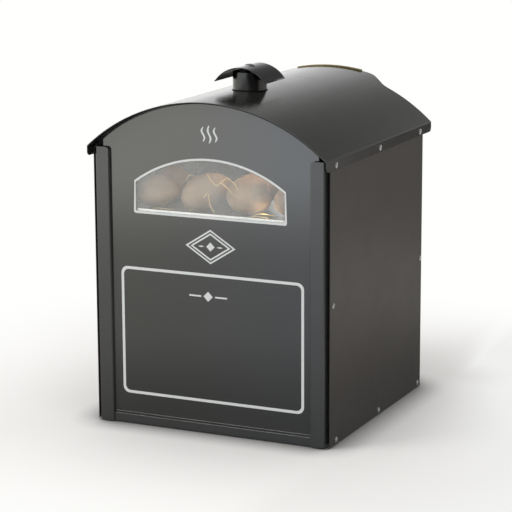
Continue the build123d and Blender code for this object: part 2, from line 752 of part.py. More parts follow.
def insulation_end():
    y = (INNER_FRONT + SKIN + SEAT_GAP, OVEN_BACK - LINING - SEAT_GAP)
    return block(both(OVEN_WALL), y, (OVEN_LOW - LINING, OVEN_HIGH + LINING))


def insulation_top():
    """Stepped slab between the oven and the display floor, lower under the control housing."""
    front, step, rear = INNER_FRONT + SKIN, HOUSING_FRONT - SEAT_GAP, INNER_REAR - SEAT_GAP
    low, ledge, high = OVEN_HIGH + LINING + SEAT_GAP, HOUSING_LOW - SEAT_GAP, FLOOR_UNDER - SEAT_GAP
    side = polygon((front, low), (rear, low), (rear, ledge), (step, ledge), (step, high), (front, high))
    return from_side(side, both(PACKING_HALF))


def runner_top(height):
    return FOOT_DROP + height


def rack_runners():
    """Three angles on each side wall that the racks slide on."""
    y = (OVEN_BACK + RACK_END_GAP, FRAME_BACK - RACK_END_GAP)
    wall = OVEN_HALF - SEAT_GAP
    angles = []
    for height in RACK_HEIGHTS:
        top = runner_top(height)
        shelf = block((wall - RUNNER, wall), y, (top - SKIN, top))
        upright = block((wall - SKIN, wall), y, (top - SKIN, top + RUNNER))
        angles += [shelf + upright, mirrored(shelf + upright)]
    return group(angles)


def oven_rack(height):
    """Welded shelf: a flat round-cornered frame with square wires let into it along the oven."""
    half = OVEN_HALF - SEAT_GAP - SKIN - RACK_SIDE_GAP
    y = (OVEN_BACK + RACK_END_GAP, FRAME_BACK - RACK_END_GAP)
    low = runner_top(height) + SEAT_GAP
    width, length, middle = 2 * half, y[1] - y[0], (y[0] + y[1]) / 2
    outer = RectangleRounded(width, length, RACK_CORNER)
    frame = Pos(0, middle) * (outer - Rectangle(width - 2 * RACK_BAR, length - 2 * RACK_BAR))
    rack = from_above(frame, (low, low + RACK_THICKNESS))
    for i in range(RACK_WIRES):
        x = (i + 1) * (width - 2 * RACK_BAR) / (RACK_WIRES + 1) - half + RACK_BAR
        wire = block((x - RACK_WIRE / 2, x + RACK_WIRE / 2), (y[0] + RACK_BAR / 2, y[1] - RACK_BAR / 2),
                     (low + RACK_THICKNESS - RACK_WIRE / 2, low + RACK_THICKNESS + RACK_WIRE / 2))
        rack += wire
    return rack


def oven_racks():
    return group(oven_rack(height) for height in RACK_HEIGHTS)


def element_runs():
    """x of each straight run of the lower and the upper element."""
    outer = ELEMENT_PITCH * 1.5
    lower = [-outer + ELEMENT_PITCH * i for i in range(4)]
    return lower, lower[1:3]


def element_heights():
    return OVEN_LOW + LOWER_ELEMENT_RISE, OVEN_HIGH - UPPER_ELEMENT_DROP


def heating_element(runs, z):
    """Sheathed element that leaves its plate on the end wall, winds to and fro and comes back to it."""
    plate_face = OVEN_BACK + SEAT_GAP + ELEMENT_PLATE
    near, far = OVEN_BACK + ELEMENT_TAIL, OVEN_BACK + ELEMENT_REACH
    bend = (runs[1] - runs[0]) / 2
    points = [(runs[0], plate_face - 1, z)]
    for i in range(len(runs) - 1):
        turn, side = (far, 1) if i % 2 == 0 else (near + bend, -1)
        centre = (runs[i] + runs[i + 1]) / 2
        for step in range(ELEMENT_BEND_STEPS + 1):
            angle = pi * step / ELEMENT_BEND_STEPS
            points.append((centre - bend * cos(angle), turn + side * bend * sin(angle), z))
    points.append((runs[-1], plate_face - 1, z))
    path = Polyline(*points)
    section = Plane(origin=path @ 0, z_dir=path % 0) * RegularPolygon(ELEMENT_RADIUS, ELEMENT_SIDES)
    element = sweep(section, path=path, transition=Transition.RIGHT)
    for x in (runs[0], runs[-1]):
        half = ELEMENT_PLATE_HALF
        element += block((x - half, x + half), (OVEN_BACK + SEAT_GAP, plate_face), (z - half, z + half))
    return element


# ------------------------------------------------------------------ controls
def control_span():
    return (at_height(CONTROL_LOW), at_height(CONTROL_HIGH))


def control_housing():
    """Open-backed tray behind the controls."""
    x, y, z = both(CONTROL_HALF), (HOUSING_FRONT, INNER_REAR), (HOUSING_LOW, HOUSING_HIGH)
    inner_x, inner_z = both(CONTROL_HALF - LINING), (z[0] + LINING, z[1] - LINING)
    return block(x, y, z) - block(inner_x, (y[0] + LINING, y[1] + 1), inner_z)


def control_panel():
    """Tray-shaped fascia, pierced for the dials, switches and cable gland."""
    x, y, z = both(CONTROL_HALF), (FRAME_FACE + SEAT_GAP, CONTROL_FACE), control_span()
    inner_x, inner_z = both(CONTROL_HALF - SKIN), (z[0] + SKIN, z[1] - SKIN)
    tray = block(x, y, z) - block(inner_x, (y[0] - 1, y[1] - SKIN), inner_z)
    through = (CONTROL_FACE - SKIN - 1, CONTROL_FACE + 1)
    for position in DIAL_POSITIONS:
        tray -= along_y(DIAL_BUSH_RADIUS + CURVE_GAP, position, CONTROL_Z, through)
    for position in SWITCH_POSITIONS:
        tray -= centred(position, (SWITCH_WIDTH - SWITCH_RIM) / 2, (SWITCH_HEIGHT - SWITCH_RIM) / 2, through)
    return tray - along_y(GLAND_THREAD + CURVE_GAP, GLAND_POSITION, CONTROL_Z, through)


def dial_body(position):
    """Thermostat or timer: a cased mechanism with a bush through the panel, bored for its spindle."""
    back = CONTROL_FACE - SKIN - SEAT_GAP
    half = DIAL_BODY / 2
    case = centred(position, half, half, (back - DIAL_BODY_DEPTH, back))
    case = chamfer(case.edges().filter_by(Axis.Y), DIAL_BODY_CHAMFER)
    bush_front = CONTROL_FACE + DIAL_BUSH_STAND
    bush = along_y(DIAL_BUSH_RADIUS, position, CONTROL_Z, (back - 1, bush_front))
    bore = (bush_front + SPINDLE_STAND - SPINDLE_LENGTH - CURVE_GAP, bush_front + 1)
    return case + bush - along_y(SPINDLE_RADIUS + RUNNING_GAP, position, CONTROL_Z, bore)


def spindle_span():
    tip = CONTROL_FACE + DIAL_BUSH_STAND + SPINDLE_STAND
    return (tip - SPINDLE_LENGTH, tip)


def spindle_flat(position, grow, y):
    """The part of a round spindle's section that its flat leaves, over a span of depth."""
    radius = SPINDLE_RADIUS + grow
    bar = along_y(radius, position, CONTROL_Z, y)
    flat = CONTROL_Z + SPINDLE_RADIUS - SPINDLE_FLAT + grow
    return bar - block((position - radius, position + radius), (y[0] - 1, y[1] + 1), (flat, flat + radius))


def dial_spindle(position):
    low, tip = spindle_span()
    flat_start = CONTROL_FACE + DIAL_BUSH_STAND + KNOB_SKIRT
    plain = along_y(SPINDLE_RADIUS, position, CONTROL_Z, (low, flat_start))
    return plain + spindle_flat(position, 0, (flat_start, tip))


def dial_knob(position):
    """Many-sided skirt, tapered neck and raised grip bar, bored for the spindle's flat."""
    base = CONTROL_FACE + DIAL_BUSH_STAND + CURVE_GAP
    skirt = extrude(RegularPolygon(KNOB_RADIUS, KNOB_SIDES), KNOB_SKIRT)
    neck_height = KNOB_HEIGHT - KNOB_SKIRT - KNOB_GRIP_RISE
    neck_outline = Pos(0, 0, KNOB_SKIRT) * RegularPolygon(KNOB_NECK_RADIUS, KNOB_SIDES)
    neck = extrude(neck_outline, neck_height, taper=KNOB_TAPER)
    grip_span = (KNOB_HEIGHT - KNOB_GRIP_DEPTH, KNOB_HEIGHT)
    grip = block(both(KNOB_GRIP / 2), both((KNOB_RADIUS + KNOB_NECK_RADIUS) / 2), grip_span)
    grip = chamfer(grip.faces().sort_by(Axis.Z)[-1].edges(), KNOB_GRIP_EDGE)
    knob = Pos(position, base, CONTROL_Z) * Rot(-90, 0, 0) * (skirt + neck + grip)
    tip = spindle_span()[1] + CURVE_GAP
    flat_start = CONTROL_FACE + DIAL_BUSH_STAND + KNOB_SKIRT
    bore = along_y(SPINDLE_RADIUS + RUNNING_GAP, position, CONTROL_Z, (base - 1, flat_start + CURVE_GAP))
    return knob - bore - spindle_flat(position, RUNNING_GAP, (base - 1, tip))


def switch_pivot():
    return CONTROL_FACE + SWITCH_RIM - ROCKER_SET


def switch_housings():
    """Bezels with a well for each rocker."""
    housings = []
    face = CONTROL_FACE + SEAT_GAP
    for position in SWITCH_POSITIONS:
        rim = centred(position, SWITCH_WIDTH / 2, SWITCH_HEIGHT / 2, (face, face + SWITCH_RIM))
        inset = SWITCH_RIM / 2 + SEAT_GAP
        body = centred(position, SWITCH_WIDTH / 2 - inset, SWITCH_HEIGHT / 2 - inset, (face - SWITCH_BODY_DEPTH, face))
        well_floor = switch_pivot() - ROCKER_HEEL - 2 * ROCKER_SIDE_GAP
        well = centred(position, ROCKER_WIDTH / 2 + ROCKER_SIDE_GAP, rocker_reach() + ROCKER_SIDE_GAP,
                       (well_floor, face + SWITCH_RIM + 1))
        housings.append(rim + body - well)
    return group(housings)


def centred(position, half, high, y):
    """A box about a control's middle."""
    return block((position - half, position + half), y, (CONTROL_Z - high, CONTROL_Z + high))


def rocker_reach():
    """How far a rocker's tips reach above or below its pivot, at their furthest."""
    tip = atan2(ROCKER_HALF, ROCKER_TIP) + radians(ROCKER_TILT)
    return hypot(ROCKER_HALF, ROCKER_TIP) * sin(min(tip, pi / 2))


def rocker(position):
    """Rocker with a dished face and a keel that bears in the well, at rest with its lower end out."""
    side = polygon(
        (-ROCKER_HEEL, 0), (0, -ROCKER_HALF), (ROCKER_TIP, -ROCKER_HALF), (ROCKER_WAIST, 0),
        (ROCKER_TIP, ROCKER_HALF), (0, ROCKER_HALF),
    )
    body = from_side(side, both(ROCKER_WIDTH / 2))
    return Pos(position, switch_pivot(), CONTROL_Z) * Rot(ROCKER_TILT, 0, 0) * body


def pilot_lenses():
    """Two faceted lenses on the panel."""
    lens = extrude(RegularPolygon(PILOT_RADIUS, PILOT_SIDES), PILOT_HEIGHT, taper=PILOT_TAPER)
    place = CONTROL_FACE + SEAT_GAP
    return group(Pos(position, place, CONTROL_Z) * Rot(-90, 0, 0) * lens for position in PILOT_POSITIONS)


def cable_gland():
    """Hexagon-based gland through the panel, bored for the supply cable."""
    face = CONTROL_FACE + SEAT_GAP
    tip = face + GLAND_STAND
    tail = tip - GLAND_LENGTH
    place = Pos(GLAND_POSITION, CONTROL_Z)
    base = from_front(place * RegularPolygon(GLAND_FLATS / 2, 6, major_radius=False), (face, face + GLAND_STAND / 2))
    cap = from_front(place * RegularPolygon(GLAND_CAP_RADIUS, GLAND_CAP_SIDES), (face, tip))
    thread = from_front(place * RegularPolygon(GLAND_THREAD, GLAND_CAP_SIDES), (tail, face + 1))
    return base + cap + thread - along_y(GLAND_BORE, GLAND_POSITION, CONTROL_Z, (tail - 1, tip + 1))


# ------------------------------------------------------------------ hinges
def hinge_leaves():
    """Fixed halves of the hinges: a plate on the casing, a strap and a barrel with its pin each."""
    leaves = []
    for height in DOOR_HINGE_HEIGHTS:
        x, y, z = DOOR_HINGE_X, DOOR_HINGE_Y, at_height(height)
        span, foot = (z - HINGE_SPAN, z - CURVE_GAP), CASE_REAR + SEAT_GAP
        strap = block((x + HINGE_KNUCKLE - HINGE_LEAF, x + HINGE_KNUCKLE), (foot, y), span)
        plate = block((DOOR_HALF + 2 * CURVE_GAP + HINGE_LEAF, SIDE), (foot, foot + HINGE_LEAF), span)
        pin = along_z(HINGE_PIN, x, y, (z - HINGE_LEAF, z + HINGE_SPAN))
        leaves.append(mirrored(along_z(HINGE_KNUCKLE, x, y, span, BAR_SIDES) + strap + plate + pin))
    for x in FLAP_HINGES:
        y, z = FLAP_HINGE_Y, FLAP_HINGE_Z
        span, foot, low = (x - FLAP_HINGE_SPAN, x - CURVE_GAP), FRAME_FACE + SEAT_GAP, FLAP_HINGE_Z - FLAP_KNUCKLE
        strap = block(span, (foot, y), (low, low + FLAP_LEAF))
        plate = block(span, (foot, foot + FLAP_LEAF), (low, low + 2 * FLAP_KNUCKLE))
        pin = along_x(FLAP_PIN, y, z, (x - FLAP_LEAF, x + FLAP_HINGE_SPAN))
        leaves.append(along_x(FLAP_KNUCKLE, y, z, span, BAR_SIDES) + strap + plate + pin)
    return group(leaves)


def oven_door_hinges():
    """Moving halves of the oven door's hinges: a plate on the door's edge and a bored barrel each."""
    leaves = []
    edge, outer = DOOR_HALF + SEAT_GAP, DOOR_HINGE_Y + HINGE_KNUCKLE
    for height in DOOR_HINGE_HEIGHTS:
        x, y, z = DOOR_HINGE_X, DOOR_HINGE_Y, at_height(height)
        span = (z, z + HINGE_SPAN)
        strap = block((edge, x), (outer - HINGE_LEAF, outer), span)
        plate = block((edge, edge + HINGE_LEAF / 2), (DOOR_INNER + SKIN, outer), span)
        leaf = along_z(HINGE_KNUCKLE, x, y, span, BAR_SIDES) + strap + plate
        leaves.append(mirrored(leaf - along_z(HINGE_PIN + RUNNING_GAP, x, y, (z - 1, z + HINGE_SPAN + 1))))
    return group(leaves)


def display_door_hinges():
    """Moving halves of the display door's hinges: a plate under the door and a bored barrel each."""
    leaves = []
    under, y, z = at_height(FLAP_LOW) - SEAT_GAP, FLAP_HINGE_Y, FLAP_HINGE_Z
    for x in FLAP_HINGES:
        span = (x, x + FLAP_HINGE_SPAN)
        strap = block(span, (FLAP_OUTER - FLAP_LEAF, FLAP_OUTER), (z, under))
        plate = block(span, (FLAP_INNER + SKIN, FLAP_OUTER), (z + FLAP_KNUCKLE - FLAP_LEAF / 2, under))
        leaf = along_x(FLAP_KNUCKLE, y, z, span, BAR_SIDES) + strap + plate
        leaves.append(leaf - along_x(FLAP_PIN + RUNNING_GAP, y, z, (x - 1, x + FLAP_HINGE_SPAN + 1)))
    return group(leaves)


# ------------------------------------------------------------------ oven door
def door_span():
    return (at_height(DOOR_LOW), at_height(DOOR_HIGH))


def oven_door_shell():
    """Outer pan of the door, open towards the oven."""
    x, y, z = both(DOOR_HALF), (DOOR_INNER, DOOR_OUTER), door_span()
    shell = fillet(block(x, y, z).edges().filter_by(lambda e: e.center().Y > DOOR_OUTER - 0.1), POST_BEND)
    return shell - block(both(DOOR_HALF - SKIN), (y[0] - 1, y[1] - SKIN), (z[0] + SKIN, z[1] - SKIN))


def door_inside():
    z = door_span()
    return both(DOOR_HALF - SKIN - SEAT_GAP), (z[0] + SKIN + SEAT_GAP, z[1] - SKIN - SEAT_GAP)


def oven_door_liner():
    x, z = door_inside()
    return block(x, (DOOR_INNER, DOOR_INNER + LINING), z)


def oven_door_insulation():
    x, z = door_inside()
    return block(x, (DOOR_INNER + LINING + SEAT_GAP, DOOR_OUTER - SKIN - SEAT_GAP), z)


def oven_door_seal():
    """Round-cornered gasket on the door, just clear of the rear frame."""
    middle = (OVEN_LOW + OVEN_HIGH) / 2
    width, height = 2 * (OVEN_HALF + SEAL_MARGIN), OVEN_HIGH - OVEN_LOW + 2 * SEAL_MARGIN
    outer = RectangleRounded(width + 2 * SEAL_WIDTH, height + 2 * SEAL_WIDTH, 2 * SEAL_WIDTH)
    ring = Pos(0, middle) * (outer - RectangleRounded(width, height, SEAL_WIDTH))
    return from_front(ring, (FRAME_FACE + MOVING_GAP, DOOR_INNER - SEAT_GAP))


def bar_handle(bar, posts):
    """A straight round bar on two round posts."""
    return bar + posts[0] + posts[1]


def oven_door_handle():
    """Upright bar on two posts."""
    root, reach = DOOR_OUTER + SEAT_GAP, DOOR_OUTER + HANDLE_REACH
    low, high = at_height(HANDLE_LOW), at_height(HANDLE_HIGH)
    bar = along_z(HANDLE_RADIUS, HANDLE_X, reach, (low - HANDLE_OVERHANG, high + HANDLE_OVERHANG), BAR_SIDES)
    return bar_handle(bar, [along_y(HANDLE_POST, HANDLE_X, z, (root, reach), BAR_SIDES) for z in (low, high)])


# ------------------------------------------------------------------ display door
def display_door_frame():
    """Arched frame, rebated on its inner side for the glass."""
    frame = from_front(flap_outline(0) - flap_outline(FLAP_RAIL), (FLAP_INNER, FLAP_OUTER))
    rebate = from_front(flap_outline(FLAP_RAIL - FLAP_REBATE), (FLAP_INNER - 1, glass_back() + FLAP_GLASS + SEAT_GAP))
    return frame - rebate


def glass_back():
    return FLAP_INNER + FLAP_GLASS_SETBACK


def display_door_glass():
    face = flap_outline(FLAP_RAIL - FLAP_REBATE + CURVE_GAP)
    return from_front(face, (glass_back(), glass_back() + FLAP_GLASS))


def display_door_handle():
    """Level bar on two posts across the top of the arched frame."""
    root, reach = FLAP_OUTER + SEAT_GAP, FLAP_OUTER + FLAP_HANDLE_REACH
    z = at_height(FLAP_APEX) - FLAP_RAIL / 2 - FLAP_HANDLE_DROP
    bar = along_x(FLAP_HANDLE_RADIUS, reach, z, both(FLAP_HANDLE_HALF + HANDLE_OVERHANG), BAR_SIDES)
    posts = [along_y(FLAP_HANDLE_POST, x, z, (root, reach), BAR_SIDES) for x in both(FLAP_HANDLE_HALF)]
    return bar_handle(bar, posts)


# ------------------------------------------------------------------ the oven
def oven():
    (low_runs, high_runs), (low_z, high_z) = element_runs(), element_heights()
    panel, post = side_panel(), front_post()
    thermostat_x, timer_x = DIAL_POSITIONS
    power_x, light_x = SWITCH_POSITIONS
    return {
        "base_pan": base_pan(), "feet": feet(), "side_panel_right": panel, "side_panel_left": mirrored(panel),
        "front_post_right": post, "front_post_left": mirrored(post), "front_rail": front_rail(),
        "front_panel": front_panel(), "window_glass": window_glass(), "front_bulkhead": front_bulkhead(),
        "rear_frame": rear_frame(), "roof": roof(), "visor_trim": visor_trim(), "casing_screws": casing_screws(),
        "flue_pipe": flue_pipe(), "cowl": cowl(), "cowl_bridge": cowl_bridge(), "cowl_screw": cowl_screw(),
        "display_floor": display_floor(), "display_liner": display_liner(), "lamp_holder": lamp_holder(),
        "lamp": lamp(), "display_potatoes": display_potatoes(),
        "oven_liner_floor": oven_liner_floor(), "oven_liner_ceiling": oven_liner_ceiling(),
        "oven_liner_end": oven_liner_end(), "oven_liner_sides": oven_liner_sides(),
        "insulation_bottom": insulation_bottom(), "insulation_sides": insulation_sides(),
        "insulation_end": insulation_end(), "insulation_top": insulation_top(), "rack_runners": rack_runners(),
        "oven_racks": oven_racks(), "element_lower": heating_element(low_runs, low_z),
        "element_upper": heating_element(high_runs, high_z), "control_housing": control_housing(),
        "control_panel": control_panel(), "thermostat": dial_body(thermostat_x), "timer": dial_body(timer_x),
        "thermostat_spindle": dial_spindle(thermostat_x), "timer_spindle": dial_spindle(timer_x),
        "thermostat_knob": dial_knob(thermostat_x), "timer_knob": dial_knob(timer_x),
        "switch_housings": switch_housings(), "power_rocker": rocker(power_x), "light_rocker": rocker(light_x),
        "pilot_lenses": pilot_lenses(), "cable_gland": cable_gland(), "hinge_leaves": hinge_leaves(),
        "oven_door_shell": oven_door_shell(), "oven_door_liner": oven_door_liner(),
        "oven_door_insulation": oven_door_insulation(), "oven_door_seal": oven_door_seal(),
        "oven_door_handle": oven_door_handle(), "oven_door_hinges": oven_door_hinges(),
        "display_door_frame": display_door_frame(), "display_door_glass": display_door_glass(),
        "display_door_handle": display_door_handle(), "display_door_hinges": display_door_hinges(),
    }


os.makedirs("parts", exist_ok=True)
for name, shape in oven().items():
    export_step(shape, os.path.join("parts", name + ".step"))
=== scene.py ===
import json
import math
import random

import bmesh
import bpy
from mathutils import Matrix, Vector, noise

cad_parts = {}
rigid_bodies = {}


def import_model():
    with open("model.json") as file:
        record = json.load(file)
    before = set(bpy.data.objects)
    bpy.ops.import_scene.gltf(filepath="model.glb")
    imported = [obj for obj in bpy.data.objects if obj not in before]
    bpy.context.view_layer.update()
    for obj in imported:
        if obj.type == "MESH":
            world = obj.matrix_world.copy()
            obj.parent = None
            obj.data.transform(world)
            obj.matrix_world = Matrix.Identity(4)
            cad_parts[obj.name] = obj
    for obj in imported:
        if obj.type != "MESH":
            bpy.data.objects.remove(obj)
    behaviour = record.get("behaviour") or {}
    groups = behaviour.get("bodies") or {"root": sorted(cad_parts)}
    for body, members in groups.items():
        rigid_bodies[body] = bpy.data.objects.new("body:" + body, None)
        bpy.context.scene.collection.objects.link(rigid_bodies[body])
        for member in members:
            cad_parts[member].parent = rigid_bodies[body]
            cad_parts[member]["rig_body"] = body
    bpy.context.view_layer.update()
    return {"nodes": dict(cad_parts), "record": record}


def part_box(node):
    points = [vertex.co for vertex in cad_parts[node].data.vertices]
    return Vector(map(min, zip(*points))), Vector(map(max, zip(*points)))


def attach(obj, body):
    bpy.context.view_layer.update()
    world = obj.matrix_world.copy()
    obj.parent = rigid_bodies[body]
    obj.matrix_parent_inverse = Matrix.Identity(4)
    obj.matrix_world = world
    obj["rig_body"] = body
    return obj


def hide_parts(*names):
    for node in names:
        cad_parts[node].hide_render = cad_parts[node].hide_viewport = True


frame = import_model()
NODES = frame["nodes"]
MM = 0.001

# Names in the frame
CABINET = "cabinet"
OVEN_DOOR = "oven_door"
DISPLAY_DOOR = "display_door"

# ------------------------------------------------------------------ camera, as in the photograph
LENS_MM = 146.06
SENSOR_MM = 36.0
CAMERA_AZIMUTH = 25.06
CAMERA_ELEVATION = 12.28
CAMERA_ROLL = -0.28
CAMERA_DISTANCE = 4.2437
CAMERA_TARGET = Vector((-0.0086, -0.0571, 0.3124))


def make_camera():
    azimuth, elevation, roll = map(math.radians, (CAMERA_AZIMUTH, CAMERA_ELEVATION, CAMERA_ROLL))
    across = Vector((math.cos(azimuth), math.sin(azimuth), 0))
    back = Vector((math.sin(azimuth), -math.cos(azimuth), 0)) * math.cos(elevation)
    back.z = math.sin(elevation)
    up = back.cross(across)
    right = across * math.cos(roll) + up * math.sin(roll)
    up = up * math.cos(roll) - across * math.sin(roll)
    data = bpy.data.cameras.new("photo_camera")
    data.lens, data.sensor_width = LENS_MM, SENSOR_MM
    data.clip_start, data.clip_end = 0.1, 100
    camera = bpy.data.objects.new("photo_camera", data)
    turn = Matrix((right, up, back)).transposed().to_4x4()
    camera.matrix_world = Matrix.Translation(CAMERA_TARGET + back * CAMERA_DISTANCE) @ turn
    bpy.context.scene.collection.objects.link(camera)
    bpy.context.scene.camera = camera


# ------------------------------------------------------------------ node materials
class Look:
    """A node tree under construction. add() makes a node, and links or sets the inputs that it is given."""

    def __init__(self, name):
        self.material = bpy.data.materials.new(name)
        self.material.use_nodes = True
        self.tree = self.material.node_tree
        self.shader = self.tree.nodes["Principled BSDF"]
        self.place = self.add("ShaderNodeTexCoord").outputs["Object"]

    def add(self, kind, inputs=None, **settings):
        node = self.tree.nodes.new(kind)
        for key, value in settings.items():
            setattr(node, key, value)
        for key, value in (inputs or {}).items():
            self.put(node.inputs[key], value)
        return node

    def put(self, socket, value):
        if isinstance(value, bpy.types.NodeSocket):
            self.tree.links.new(value, socket)
        else:
            socket.default_value = value

    def set(self, **inputs):
        for key, value in inputs.items():
            self.put(self.shader.inputs[key.replace("_", " ")], value)

    def stretched(self, stretch):
        return self.add("ShaderNodeMapping", {"Vector": self.place, "Scale": stretch}).outputs[0]

    def noise(self, scale, detail=3.0, rough=0.5, stretch=None, distortion=0.0):
        place = self.stretched(stretch) if stretch else self.place
        inputs = {"Vector": place, "Scale": scale, "Detail": detail, "Roughness": rough, "Distortion": distortion}
        return self.add("ShaderNodeTexNoise", inputs).outputs["Fac"]

    def voronoi(self, scale, feature="F1"):
        return self.add("ShaderNodeTexVoronoi", {"Vector": self.place, "Scale": scale}, feature=feature).outputs[0]

    def spread(self, value, low, high, into_low=0.0, into_high=1.0):
        inputs = {"Value": value, "From Min": low, "From Max": high, "To Min": into_low, "To Max": into_high}
        return self.add("ShaderNodeMapRange", inputs).outputs[0]

    def mix(self, factor, first, second, blend="MIX"):
        node = self.add("ShaderNodeMix", data_type="RGBA", blend_type=blend)
        self.put(node.inputs["Factor"], factor)
        self.put(node.inputs["A"], rgba(first))
        self.put(node.inputs["B"], rgba(second))
        return node.outputs["Result"]

    def maths(self, kind, first, second):
        return self.add("ShaderNodeMath", {0: first, 1: second}, operation=kind).outputs[0]

    def bump(self, height, depth, strength=1.0, normal=None):
        inputs = {"Height": height, "Distance": depth, "Strength": strength}
        if normal:
            inputs["Normal"] = normal
        return self.add("ShaderNodeBump", inputs).outputs[0]


def rgba(colour):
    return (*colour, 1.0) if isinstance(colour, tuple) and len(colour) == 3 else colour


def shade(colour, factor):
    return tuple(channel * factor for channel in colour)


def enamel(name, colour, rough, level=0.5, peel=0.02, coat=0.0):
    """Stoved paint: fine orange peel, faint cloudy tone, handling smears and a few dust specks."""
    look = Look(name)
    cloud = look.noise(7, 4)
    smear = look.noise(16, 5, stretch=(1.0, 1.0, 0.8), distortion=0.6)
    tone = look.mix(cloud, shade(colour, 0.90), shade(colour, 1.10))
    speck = look.spread(look.noise(620, 1), 0.80, 0.84)
    tone = look.mix(look.maths("MULTIPLY", speck, 0.25), tone, shade(colour, 2.6))
    look.set(Base_Color=tone, Roughness=look.spread(smear, 0.25, 0.75, rough * 0.92, rough * 1.10))
    look.set(Specular_IOR_Level=level, Coat_Weight=coat, Coat_Roughness=0.05)
    fine = look.bump(look.noise(420, 2), peel * MM, 0.6)
    look.set(Normal=look.bump(look.noise(60, 2), peel * 2 * MM, 0.35, fine))
    return look.material


def metal(name, colour, rough, grain=(1, 1, 1), grain_scale=900, tint=None, depth=0.01):
    """Sheet or turned metal with a fine grain, cloudy roughness and, where tinted, a heat tone."""
    look = Look(name)
    streak = look.noise(grain_scale, 3, stretch=grain)
    cloud = look.noise(11, 4, distortion=0.5)
    tone = look.mix(cloud, shade(colour, 0.92), shade(colour, 1.04))
    if tint:
        tone = look.mix(look.spread(look.noise(5, 3), 0.42, 0.62, 0, 0.7), tone, tint)
    look.set(Base_Color=tone, Metallic=1.0, Roughness=look.spread(cloud, 0.3, 0.7, rough * 0.8, rough * 1.25))
    look.set(Normal=look.bump(streak, depth * MM, 0.5))
    return look.material


def moulding(name, colour, rough, depth=0.03, level=0.45):
    """Moulded plastic or rubber with a fine spark-eroded texture."""
    look = Look(name)
    tone = look.mix(look.noise(30, 3), shade(colour, 0.85), shade(colour, 1.2))
    look.set(Base_Color=tone, Roughness=look.spread(look.noise(45, 3), 0.3, 0.7, rough * 0.85, rough * 1.15))
    look.set(Specular_IOR_Level=level, Normal=look.bump(look.noise(1400, 2), depth * MM, 0.5))
    return look.material


def clear_glass(name, tint, haze):
    """Clear plate that lets light through, with faint smears and dust."""
    look = Look(name)
    smear = look.noise(18, 5, stretch=(1, 1, 0.5), distortion=0.8)
    look.set(Base_Color=(*tint, 1), Transmission_Weight=1.0, IOR=1.46)
    look.set(Roughness=look.spread(smear, 0.35, 0.8, 0.01, 0.05))
    film = look.add("ShaderNodeBsdfDiffuse", {"Color": (0.86, 0.86, 0.84, 1)}).outputs[0]
    clear = look.add("ShaderNodeBsdfTransparent", {"Color": (*tint, 1)}).outputs[0]
    light = look.add("ShaderNodeLightPath")
    passing = look.maths("MAXIMUM", light.outputs["Is Shadow Ray"], light.outputs["Is Diffuse Ray"])
    veil = look.spread(smear, 0.3, 0.8, haze * 0.7, haze * 1.3)
    body = look.add("ShaderNodeMixShader", {0: veil, 1: look.shader.outputs[0], 2: film}).outputs[0]
    whole = look.add("ShaderNodeMixShader", {0: passing, 1: body, 2: clear}).outputs[0]
    look.put(look.tree.nodes["Material Output"].inputs["Surface"], whole)
    return look.material


def potato_skin():
    """Baked skin: russet netting, darker patches and eyes, wrinkled and a little greasy."""
    look = Look("potato_skin")
    patch = look.spread(look.noise(16, 5, 0.6), 0.35, 0.68)
    tone = look.mix(patch, (0.21, 0.130, 0.075), (0.42, 0.290, 0.180))
    net = look.spread(look.voronoi(260, "DISTANCE_TO_EDGE"), 0.02, 0.16)
    tone = look.mix(look.maths("MULTIPLY", net, 0.4), tone, (0.48, 0.345, 0.220))
    speck = look.spread(look.noise(330, 3), 0.60, 0.70)
    tone = look.mix(look.maths("MULTIPLY", speck, 0.55), tone, (0.10, 0.055, 0.03))
    look.set(Base_Color=tone, Roughness=look.spread(patch, 0, 1, 0.55, 0.78), Subsurface_Weight=0.05)
    look.set(Subsurface_Radius=(0.004, 0.002, 0.001))
    crease = look.bump(look.noise(90, 6, 0.7, distortion=1.2), 0.5 * MM, 0.7)
    look.set(Normal=look.bump(look.noise(520, 3), 0.12 * MM, 0.6, crease))
    return look.material


def straw_blade():
    look = Look("straw_blade")
    tone = look.mix(look.noise(35, 3), (0.58, 0.38, 0.12), (0.90, 0.70, 0.32))
    look.set(Base_Color=tone, Roughness=0.5, Subsurface_Weight=0.1, Subsurface_Radius=(0.003, 0.002, 0.001))
    look.set(Normal=look.bump(look.noise(1500, 2, stretch=(1, 0.1, 0.1)), 0.05 * MM, 0.6))
    return look.material


def mineral_wool():
    look = Look("mineral_wool")
    fibre = look.noise(240, 6, 0.7, stretch=(0.3, 1, 1.6), distortion=1.5)
    look.set(Base_Color=look.mix(fibre, (0.34, 0.29, 0.16), (0.66, 0.60, 0.40)), Roughness=0.95)
    look.set(Normal=look.bump(fibre, 1.2 * MM, 0.8))
    return look.material


def fired_ceramic():
    look = Look("fired_ceramic")
    pit = look.noise(300, 3)
    look.set(Base_Color=look.mix(look.noise(20, 3), (0.74, 0.71, 0.64), (0.86, 0.84, 0.79)), Roughness=0.62)
    look.set(Normal=look.bump(pit, 0.1 * MM, 0.5))
    return look.material


def printed_ink():
    look = Look("printed_ink")
    wear = look.spread(look.noise(260, 4), 0.30, 0.36)
    look.set(Base_Color=look.mix(wear, (0.46, 0.48, 0.48), (0.63, 0.655, 0.65)), Roughness=0.42)
    look.set(Normal=look.bump(look.noise(900, 2), 0.01 * MM, 0.4))
    return look.material


def glowing(name, colour, strength, body):
    look = Look(name)
    band = look.noise(120, 2)
    look.set(Base_Color=look.mix(band, shade(body, 0.8), body), Roughness=0.25)
    look.set(Emission_Color=(*colour, 1), Emission_Strength=strength)
    return look.material


